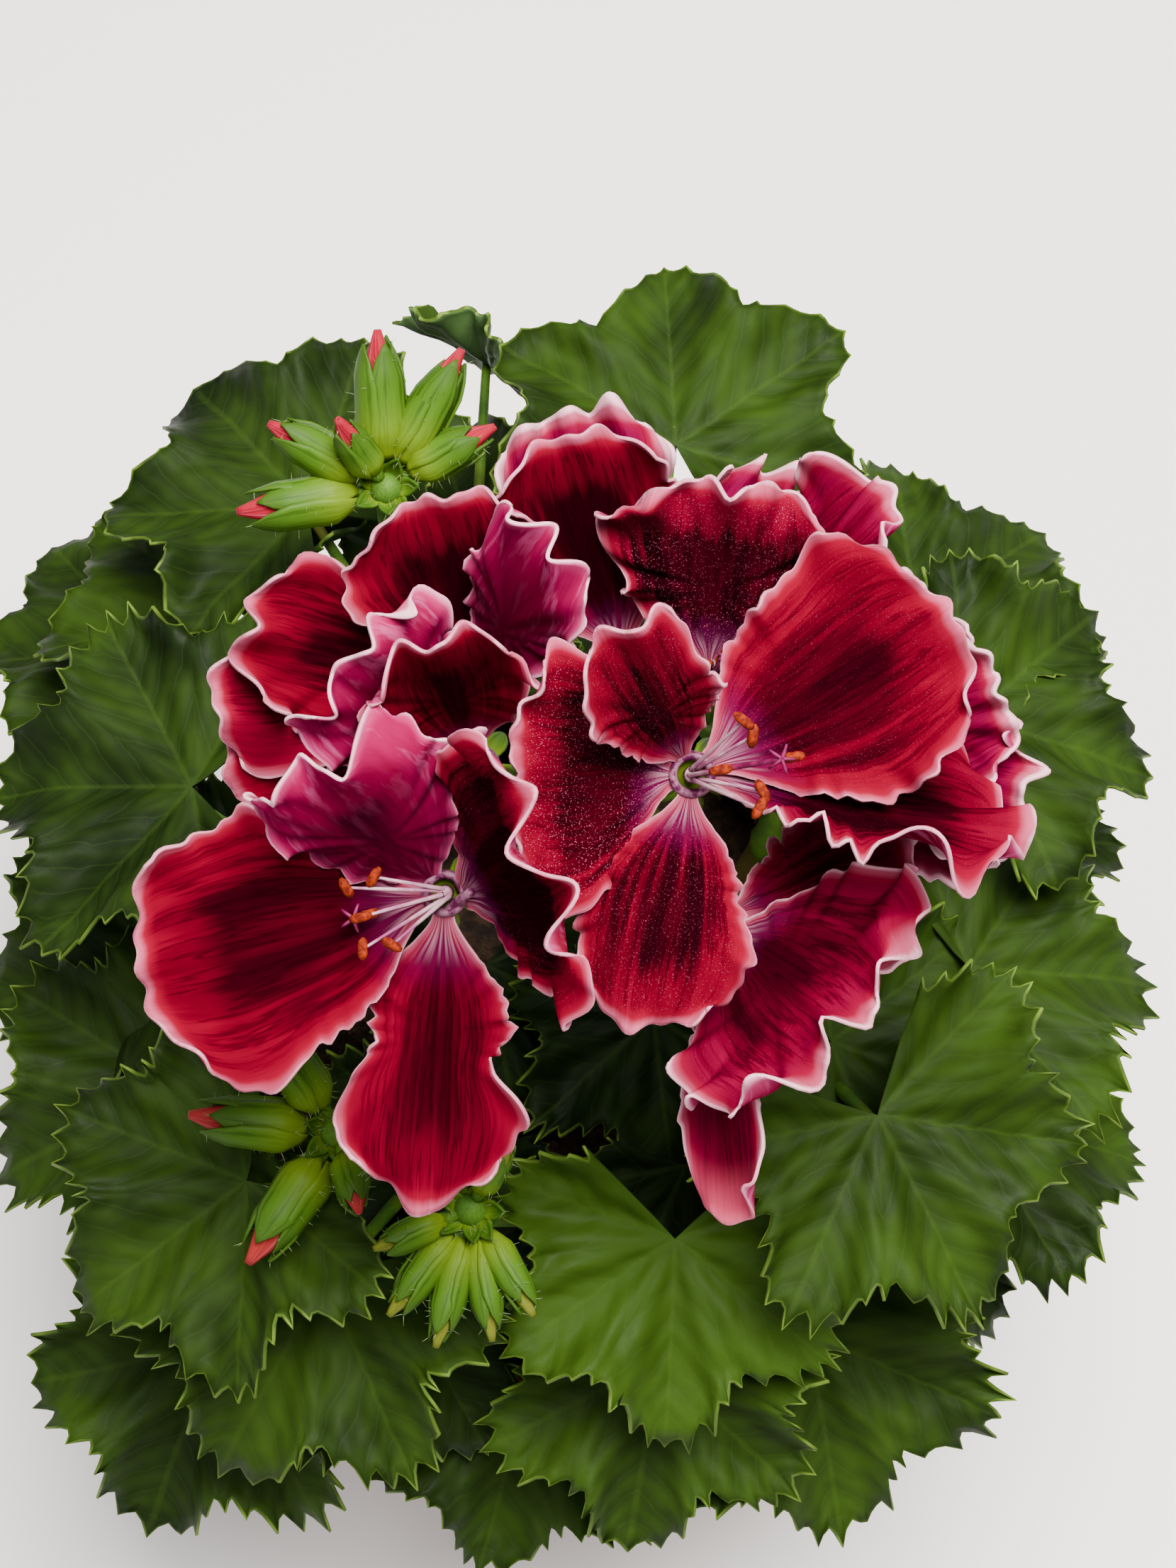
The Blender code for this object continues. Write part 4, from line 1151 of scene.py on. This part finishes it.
# %% [markdown]
# ## Heads of buds
#
# A bud is a bundle of rolled petals, red at the tip once it is ripe, held by five sepals that hug it and open
# a little at their points. The bundle could be a lathed body, but a grid that is rolled to a tube twists its
# furrows too. Small bracts hide the hub where the buds meet. Short hairs stand on buds and stalk. They are
# copies of one thin spike, because they show against the light and a bump alone would leave the outline bare.

# %% Bud shapes
BUD_START = 4.5
BUD_OUTLINE = ((0, 0.35), (0.22, 1.0), (0.68, 0.75), (1, 0.12))
BUD_TWIST = 70
BUD_FURROWS = 3
BUD_FURROW_DEPTH = 0.14
BUNDLE_SHARE = 0.72
BUNDLE_THICKNESS = 0.4
BUD_SEPAL_SHARE = 0.94
BUD_SEPAL_RADIUS = 0.86
BUD_SEPAL_SINK = 0.6
BUD_SEPAL_WIDENING = 1.5
BUD_SEPAL_LAYER = 0.13
BUD_SEPAL_OUTLINE = ((0, 0.55), (0.15, 0.82), (0.4, 1.0), (0.65, 0.94), (0.86, 0.58), (1, 0.05))


def bundle_finish():
    """Rolled petals in a bud: green below, and red to the tip where the bud is ripe."""
    made, tree = finish("rolled petals", roughness=0.5, specular=0.05)
    way, ripe = marks_of(tree, "way", "ripe")
    streaks = use(tree, PETAL_VEINS, Across=14.0, Along=1.5, Seed=8.0)
    ripe = ramp(way, 0.5, 0.75) * ripe
    base = blend(ripe, "466016", "841224")
    base = blend(ramp(streaks["Streak"], 0.5, 0.65) * (ripe * 0.5), base, "A0505A")
    return paint(made, base, streaks["Streak"], relief=0.3, strength=0.8)


BUNDLE_FINISH = bundle_finish()
HAIR_FINISH = clouded("hair", ("6A7E4A", "8A9A6C"), 0.4, 0.3, cloud=(300.0,), border=(0.4, 0.6))
print("bud finishes:", [made.name for made in (BUNDLE_FINISH, HAIR_FINISH)])


def round_bud(head, way, length, radius, turn):
    """Points round a bud's axis, by their length along it, their radius and their turn."""
    side = way.cross(Vector((0, 0, 1))).normalized()
    out = side.cross(way)
    points = np.array(way) * length[:, None] + np.array(side) * (radius * np.cos(turn))[:, None]
    return carried(head, points + np.array(out) * (radius * np.sin(turn))[:, None])


def bundle(head, way, bud, ripe):
    """The rolled petals of a bud: a grid that is rolled to a tube and narrows to its tip."""
    def place(s, t):
        radius = np.interp(t, *np.array(BUD_OUTLINE).T) * bud.radius * BUNDLE_SHARE
        radius = radius * (1 + BUD_FURROW_DEPTH * np.cos(BUD_FURROWS * pi * s))
        return round_bud(head, way, BUD_START + bud.length * t, radius, pi * s + radians(BUD_TWIST) * t)

    return blade(20, 14, place, lambda s, t: {"way": t, "ripe": ripe}, BUNDLE_THICKNESS, (BUNDLE_FINISH,))


def bud_sepals(head, way, bud, seed):
    """The five sepals that hold a bud. Each lies in its own layer, so that they overlap without meeting."""
    blades = []
    draw = np.random.default_rng(seed)
    for index in range(SEPALS):
        middle = 2 * pi * index / SEPALS + draw.uniform(-0.2, 0.2)
        length = bud.length * BUD_SEPAL_SHARE * draw.uniform(0.9, 1.05)
        opening = draw.uniform(0.15, 0.4) * bud.radius
        layer = (index * 2 % SEPALS) * BUD_SEPAL_LAYER

        def place(s, t, middle=middle, length=length, opening=opening, layer=layer):
            width = np.interp(t, *np.array(BUD_SEPAL_OUTLINE).T)
            bundle_radius = np.interp(t * BUD_SEPAL_SHARE, *np.array(BUD_OUTLINE).T) * bud.radius
            radius = bundle_radius * BUD_SEPAL_RADIUS + opening * t**2 + layer
            turn = middle + s * width * pi / SEPALS * BUD_SEPAL_WIDENING
            return round_bud(head, way, BUD_START - BUD_SEPAL_SINK + length * t, radius, turn)

        blades.append(blade(8, 14, place, lambda s, t: {"way": t}, SEPAL_THICKNESS, (SEPAL_FINISH,)))
    return blades


# %% Bracts and hairs
BRACTS = 7
BRACT_REACH = 1.6
BRACT_RISES = (38, 47)
BRACT_TURN = 11
BRACT_LENGTH = 4.6
BRACT_WIDTH = 2.6
BRACT_CURL = 30
HAIRS = 420
HAIR_LENGTH = 1.1
HAIR_RADII = (0.045, 0.008)
HAIR_LEAN = 0.35


def bracts(head):
    """Small pointed leaves that hide the hub of a head of buds."""
    made = []
    for index in range(BRACTS):
        turn = 360 * index / BRACTS + BRACT_TURN * (index % 3)
        rise = BRACT_RISES[index % 2]
        root = head @ (direction(turn, 10) * BRACT_REACH)
        ahead, face = HEAD_TURN @ direction(turn, rise), HEAD_TURN @ direction(turn + 180, 90 - rise)
        made.append(sepal(root, ahead, face, BRACT_LENGTH, BRACT_WIDTH, BRACT_CURL, SEPAL_CUP))
    return made


def hairs(carriers, seed):
    """Copies of one thin spike, which stand on drawn points of the pieces that carry them."""
    draw = np.random.default_rng(seed)
    bpy.ops.object.select_all(action="DESELECT")
    bpy.ops.mesh.primitive_cone_add(
        vertices=3, radius1=HAIR_RADII[0] * MM, radius2=HAIR_RADII[1] * MM, depth=MM
    )
    spike = bpy.context.object
    spike.data.transform(Matrix.Translation((0, 0, 0.5 * MM)))
    spike.data.materials.append(HAIR_FINISH)
    placings = []
    for index in range(HAIRS):
        mesh = carriers[index % len(carriers)].data
        point = mesh.vertices[int(draw.integers(len(mesh.vertices)))]
        lean = (point.normal + Vector(draw.uniform(-HAIR_LEAN, HAIR_LEAN, 3))).normalized()
        size = Matrix.Diagonal((1, 1, HAIR_LENGTH * draw.uniform(0.5, 1.2), 1))
        turn = lean.to_track_quat("Z", "Y").to_matrix().to_4x4()
        placings.append(Matrix.Translation(point.co) @ turn @ size)
    return strewn(spike, placings)


# %% Make the heads of buds
BUD_STALK_RADIUS = 1.5
BUD_HUB_RADIUS = 2.4
BUD_PEDICEL_RADIUS = 0.8
BUD_PEDICEL_WIDENING = 1.3
BUD_PEDICEL_START = 1.5
BUD_PEDICEL_SINK = 0.4
FIRST_BUD_SEED = 300
RIPENESS = {"bud_head_1": 1.0, "bud_head_2": 0.9, "bud_head_3": 0.15}


def bud_head(name, shoot, bend, centre, buds, first_seed):
    """A stalk on the tip of a shoot, with its hub, bracts, buds and hairs."""
    foot, way = stem_tip(shoot)
    centre = Vector(centre)
    points = bent(foot, bend, centre, 20)
    pieces = [stalk(points, tapered(BUD_STALK_RADIUS, BUD_STALK_RADIUS, 21), STALK_FINISH)]
    pieces.append(knob(centre, BUD_HUB_RADIUS))
    head = Matrix.Translation(centre) @ HEAD_TURN
    blades = []
    for index, bud in enumerate(buds):
        way = direction(bud.heading, bud.rise)
        ends = [head @ (way * BUD_PEDICEL_START), head @ (way * (BUD_START + BUD_PEDICEL_SINK))]
        radii = (BUD_PEDICEL_RADIUS, BUD_PEDICEL_RADIUS * BUD_PEDICEL_WIDENING)
        pieces.append(stalk(ends, radii, STALK_FINISH, sides=10))
        pieces.append(bundle(head, way, bud, RIPENESS[name]))
        blades.extend(bud_sepals(head, way, bud, first_seed + index))
    blades.extend(bracts(head))
    pieces.extend(hairs([*blades, pieces[0]], first_seed) + blades)
    return joined(name + "_buds", pieces)


for index, (name, (shoot, bend, centre, buds)) in enumerate(BUD_HEADS.items()):
    placed(bud_head(name, shoot, bend, centre, buds, FIRST_BUD_SEED + 10 * index), "sepal", name)

# %% [markdown]
# ## Stamens and styles
#
# White-pink filaments rise from a column in the throat and part, each with an orange anther that lies across
# its tip. Among them stands the violet style with five curled tips. They are all thin round parts, so each is
# a tapered stalk, and the anther's lumps come from its radii.

# %% Stamens
COLUMN_RADIUS = 1.0
COLUMN_RISE = 1.5
COLUMN_TAPER = 0.8
FILAMENT_RADIUS = 0.22
FILAMENT_SPREAD = 0.5
FILAMENT_SEAT = 0.55
FILAMENT_SINK = 0.3
FILAMENT_BOW = 0.08
ANTHER_LENGTH = 2.6
ANTHER_BOW = 0.35
ANTHER_RADII = (0.25, 0.55, 0.62, 0.55, 0.6, 0.5, 0.2)
STYLE_RADII = (0.35, 0.3)
STYLE_SHARE = 0.95
STYLE_BOW = 0.6
STYLE_TIPS = 5
STYLE_TIP_LENGTH = 1.6
STYLE_TIP_DROP = 1.2
STYLE_TIP_RADII = (0.24, 0.12)
FILAMENT_FINISH = clouded("filament", ("A8848E", "7C3C60"), 0.5, 0.1, cloud=(300.0, 3.0), relief=0.15)
ANTHER_FINISH = clouded("anther", ("4A0E04", "7A2606"), 0.8, 0.1, cloud=(1500.0, 3.0), relief=0.15)
STYLE_FINISH = clouded("style", ("4E0A2C", "701C46"), 0.5, 0.1, cloud=(600.0, 3.0), relief=0.15)


def stamens(name, throat, heading, rise, length, filaments):
    """The column of a bloom with its filaments, anthers and style."""
    head = HEAD_FRAME @ Matrix.Translation(throat)
    foot = Vector((0, 0, -THROAT_DEPTH / 2))
    top = Vector((0, 0, THROAT_DEPTH / 2 + COLUMN_RISE))
    column_radii = (COLUMN_RADIUS, COLUMN_RADIUS * COLUMN_TAPER)
    pieces = [stalk([head @ foot, head @ top], column_radii, FILAMENT_FINISH)]
    for index in range(filaments):
        turn = heading + index / filaments * 360
        way = (direction(heading, rise) + direction(turn, 30) * FILAMENT_SPREAD).normalized()
        start = top + direction(turn, 0) * COLUMN_RADIUS * FILAMENT_SEAT - Vector((0, 0, FILAMENT_SINK))
        tip = start + way * length * (0.85 + 0.15 * cos(radians(3 * turn)))
        half = (direction(turn, 20) - way * 0.3).normalized() * ANTHER_LENGTH / 2
        control = start.lerp(tip, 0.5) + Vector((0, 0, length * FILAMENT_BOW))
        curve = [head @ place for place in bent(start, control, tip, 10)]
        radii = tapered(FILAMENT_RADIUS * 1.3, FILAMENT_RADIUS * 0.7, 11)
        pieces.append(stalk(curve, radii, FILAMENT_FINISH, sides=8))
        bow = Vector((0, 0, ANTHER_BOW))
        anther = [head @ place for place in bent(tip - half, tip + bow, tip + half, len(ANTHER_RADII) - 1)]
        pieces.append(stalk(anther, ANTHER_RADII, ANTHER_FINISH, sides=8))
    middle = top + direction(heading, rise) * length * STYLE_SHARE
    control = top.lerp(middle, 0.5) + Vector((0, 0, STYLE_BOW))
    style = [head @ place for place in bent(top, control, middle, 10)]
    pieces.append(stalk(style, tapered(*STYLE_RADII, 11), STYLE_FINISH, sides=8))
    for index in range(STYLE_TIPS):
        turn = 360 * index / STYLE_TIPS
        out = direction(turn, 20) * STYLE_TIP_LENGTH * min(1, length / 11)
        end = middle + out * 1.1 - Vector((0, 0, STYLE_TIP_DROP))
        curl = [head @ place for place in bent(middle, middle + out, end, 8)]
        pieces.append(stalk(curl, tapered(*STYLE_TIP_RADII, 9), STYLE_FINISH, sides=6))
    return joined(name + "_tuft", pieces)


for name, (throat, petals, tuft) in BLOOMS.items():
    stamen_node = name.replace("bloom", "stamens")
    placed(stamens(stamen_node, throat, *tuft), "filament", stamen_node)

# %% [markdown]
# ## Soil and pot
#
# Potting soil is dark and crumbly, and lies a little below the rim. A flat disc would look like a lid, so the
# soil starts as a grid that is mapped to a disc and extruded down the pot, and its top is then roughened. One
# crumb of soil is modelled and copied over it with other sizes and turns.

# %% Soil
SOIL_GAP = 0.3
SOIL_EDGE = 86
SOIL_MIDDLE = 90
SOIL_COLUMNS = 84
SOIL_RELIEF = 0.9
CRUMBS = 420
CRUMB_SEED = 5
CRUMB_SIZES = (0.35, 1.3)
CRUMB_MARGIN = 4
POT_HEIGHT = 100
POT_FLOOR = 5
INNER_FLOOR_RADIUS = 38
INNER_TOP_RADIUS = 55


def inner_radius(height):
    """Radius of the pot's inside at a height."""
    share = (height - POT_FLOOR) / (POT_HEIGHT - POT_FLOOR)
    return INNER_FLOOR_RADIUS + (INNER_TOP_RADIUS - INNER_FLOOR_RADIUS) * share


def soil_height(x, y):
    """The top of the soil: a low mound with lumps, which are flat at the pot's wall."""
    share = np.clip(np.hypot(x, y) / (inner_radius(SOIL_EDGE) - SOIL_GAP), 0, 1)
    lumps = np.sin(0.7 * x + 1.1 * np.sin(0.5 * y)) * np.sin(0.8 * y + 0.9 * np.sin(0.6 * x + 1.0))
    lumps = lumps + 0.6 * np.sin(1.9 * x + 0.4) * np.sin(2.3 * y + 1.7)
    mound = SOIL_EDGE + (SOIL_MIDDLE - SOIL_EDGE) * (1 - share**2)
    return mound + SOIL_RELIEF * (lumps - 0.8) * (1 - share**8)


def soil():
    """The body of soil that fills the pot."""
    bpy.ops.mesh.primitive_grid_add(x_subdivisions=SOIL_COLUMNS, y_subdivisions=SOIL_COLUMNS, size=2)
    body = bpy.context.object
    mesh = body.data
    x, y = points_of(mesh)[:, :2].T.astype(float)
    radius = inner_radius(SOIL_EDGE) - SOIL_GAP
    disc = np.stack([x * np.sqrt(1 - y**2 / 2), y * np.sqrt(1 - x**2 / 2), 0 * x], axis=1) * radius
    disc[:, 2] = SOIL_EDGE
    move_points(mesh, disc)
    bottom = POT_FLOOR + SOIL_GAP
    shrink = (inner_radius(bottom) - SOIL_GAP) / radius
    bpy.ops.object.mode_set(mode="EDIT")
    bpy.ops.mesh.select_all(action="SELECT")
    bpy.ops.mesh.extrude_region_move(TRANSFORM_OT_translate={"value": (0, 0, (bottom - SOIL_EDGE) * MM)})
    bpy.ops.transform.resize(value=(shrink, shrink, 1), center_override=(0, 0, bottom * MM))
    bpy.ops.mesh.select_all(action="SELECT")
    bpy.ops.mesh.normals_make_consistent(inside=False)
    bpy.ops.object.mode_set(mode="OBJECT")
    places = points_of(mesh) / MM
    top = places[:, 2] > SOIL_EDGE - 1
    places[top, 2] = soil_height(places[top, 0], places[top, 1])
    move_points(mesh, places)
    mesh.materials.append(SOIL_FINISH)
    mesh.shade_smooth()
    return body


def crumbs():
    """Copies of one angular crumb, strewn on the soil."""
    draw = np.random.default_rng(CRUMB_SEED)
    bpy.ops.object.select_all(action="DESELECT")
    bpy.ops.mesh.primitive_ico_sphere_add(subdivisions=1, radius=MM)
    first = bpy.context.object
    first.data.materials.append(CRUMB_FINISH)
    reach = inner_radius(SOIL_EDGE) - CRUMB_MARGIN
    placings = []
    for index in range(CRUMBS):
        heading, far = draw.uniform(0, 2 * pi), reach * draw.uniform(0.05, 1) ** 0.5
        x, y = far * cos(heading), far * sin(heading)
        turn = Matrix.Rotation(draw.uniform(0, 6), 4, "Z") @ Matrix.Rotation(draw.uniform(0, 6), 4, "X")
        size = Matrix.Diagonal((*(draw.uniform(*CRUMB_SIZES, 3) * draw.uniform(0.6, 1.3)), 1))
        placings.append(Matrix.Translation(Vector((x, y, float(soil_height(x, y)))) * MM) @ turn @ size)
    return strewn(first, placings)


GRAIN = {"roughness": 0.9, "specular": 0.2, "border": (0.35, 0.7), "strength": 1.0}
SOIL_FINISH = clouded("potting soil", ("140C07", "3C2A1C"), cloud=(420.0, 8.0, 0.7), relief=1.2, **GRAIN)
CRUMB_FINISH = clouded("soil crumb", ("1E130A", "644C36"), cloud=(900.0, 8.0, 0.7), relief=0.5, **GRAIN)
placed(joined("potting_soil", [soil(), *crumbs()]), "soil", "soil")

# %% [markdown]
# The pot is turned clay with a collar, worn a little at the rim. It could be spun from a profile, but here it
# is extruded upwards round by round, as it grows on the wheel: from a circle at its foot to the collar, over
# the rim, and down inside to its floor. Its edges are rounded by the stations themselves. Three holes are
# then drilled.

# %% Clay
def clay_finish():
    """Unglazed clay: fired tints in clouds, fine rings from the wheel, and a pale bloom of salts."""
    made, tree = finish("clay", roughness=0.85, specular=0.3)
    place = coordinates(tree)
    flattened = Value(node(tree, "Mapping", {"Scale": (0.06, 0.06, 1), "Vector": place}).outputs[0])
    rings = noise(flattened, 700.0, 4.0, 0.6)
    clouds = noise(place, 28.0, 5.0, 0.6)
    base = layers(
        blend(ramp(clouds, 0.3, 0.7), "8A452B", "A05E3E"),
        (ramp(rings, 0.4, 0.7) * 0.3, "743A25"),
        (ramp(noise(place, 45.0, 6.0, 0.7), 0.52, 0.72) * 0.4, "B0958A"),
    )
    height = rings + noise(place, 2600.0, 2.0, 0.7) * 0.35
    dryness = ramp(clouds, 0.3, 0.7, 0.78, 0.92)
    return paint(made, base, height, relief=0.35, strength=0.7, roughness=dryness)


# %% Pot
POT_SIDES = 144
POT_PROFILE = (
    (40.8, 0), (41.6, 0.3), (42.05, 1.2), (45.9, 25.0), (49.9, 50.0), (53.9, 75.5), (54.4, 76.0),
    (56.3, 76.1), (57.0, 76.8), (57.2, 78.0), (58.5, 88.0), (59.75, 97.6), (59.85, 98.8), (59.4, 99.6),
    (58.6, 100.0), (56.0, 100.0), (55.3, 99.8), (55.0, 99.0), (52.2, 84.4), (INNER_FLOOR_RADIUS, POT_FLOOR),
)
DRAINS = 3
DRAIN_RADIUS = 4
DRAIN_REACH = 22
DRAIN_TURN = 30
DRILL_LENGTH = 30
SMOOTH_UP_TO = 35


def pot():
    """The pot, extruded round by round, with its drains drilled."""
    bpy.ops.object.select_all(action="DESELECT")
    bpy.ops.mesh.primitive_circle_add(vertices=POT_SIDES, radius=POT_PROFILE[0][0] * MM, fill_type="NGON")
    body = bpy.context.object
    bpy.ops.object.mode_set(mode="EDIT")
    bpy.ops.mesh.select_all(action="SELECT")
    for (radius, height), (wider, higher) in zip(POT_PROFILE, POT_PROFILE[1:]):
        bpy.ops.mesh.extrude_region_move(TRANSFORM_OT_translate={"value": (0, 0, (higher - height) * MM)})
        share = wider / radius
        bpy.ops.transform.resize(value=(share, share, 1), center_override=(0, 0, higher * MM))
    bpy.ops.mesh.select_all(action="SELECT")
    bpy.ops.mesh.normals_make_consistent(inside=False)
    bpy.ops.object.mode_set(mode="OBJECT")
    for index in range(DRAINS):
        heading = radians(DRAIN_TURN + 360 / DRAINS * index)
        place = Vector((cos(heading), sin(heading), 0)) * DRAIN_REACH * MM
        bpy.ops.mesh.primitive_cylinder_add(
            vertices=32, radius=DRAIN_RADIUS * MM, depth=DRILL_LENGTH * MM, location=place
        )
        drill = bpy.context.object
        hole = body.modifiers.new("Drain", "BOOLEAN")
        hole.operation = "DIFFERENCE"
        hole.object = drill
        only(body)
        bpy.ops.object.modifier_apply(modifier=hole.name)
        bpy.data.objects.remove(drill)
    body.data.materials.append(clay_finish())
    body.name = body.data.name = "clay_pot"
    body.data.shade_smooth()
    only(body)
    bpy.ops.object.shade_smooth_by_angle(angle=radians(SMOOTH_UP_TO))
    return body


placed(pot(), "clay", "pot")

# %% [markdown]
# ## Floor and light
#
# The plant stands on a plain pale floor. The photograph was taken in soft daylight, so a large soft light
# stands above the plant on the far side, as its window, and a weak one fills the shade from the front. The
# world is a pale, even light. Small hard lamps would draw sharp shadows that the photograph doesn't have.

# %% Stage
LIGHT_TARGET = (0, -10, 160)
FLOOR_SIZE = 4
WORLD_STRENGTH = 0.42


def area_light(name, place, size, power, tint):
    """A square soft light at a place, facing the plant. Its place and size are in mm."""
    bpy.ops.object.light_add(type="AREA", location=Vector(place) * MM)
    light = bpy.context.object
    light.name = name
    light.data.size = size * MM
    light.data.energy = power
    light.data.color = tint
    light.rotation_euler = (Vector(LIGHT_TARGET) - Vector(place)).to_track_quat("-Z", "Y").to_euler()


bpy.ops.mesh.primitive_plane_add(size=FLOOR_SIZE)
floor = bpy.context.object
floor.name = "floor"
floor_finish = finish("floor", roughness=0.8, specular=0.2)[0]
floor.data.materials.append(paint(floor_finish, "F4F3F0"))
floor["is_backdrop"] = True

world = bpy.data.worlds.new("studio")
world.use_nodes = True
background = world.node_tree.nodes["Background"].inputs
background["Color"].default_value = (0.95, 0.97, 1.0, 1)
background["Strength"].default_value = WORLD_STRENGTH
bpy.context.scene.world = world
area_light("window", (120, 60, 850), size=450, power=28.0, tint=(1.0, 0.97, 0.93))
area_light("fill", (-420, -420, 620), size=600, power=2.0, tint=(0.95, 0.97, 1.0))

# %% [markdown]
# ## Bounds and finish
#
# A dressed plant has to fill the space of its solids and no more, so the bounds of both are printed side by
# side.

# %% Bounds and finish
dressed_bounds = [list(corner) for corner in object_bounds()]
for name, bounds in (("solids", solid_bounds), ("dressed", dressed_bounds)):
    print(name, [[round(value / MM, 1) for value in corner] for corner in bounds])
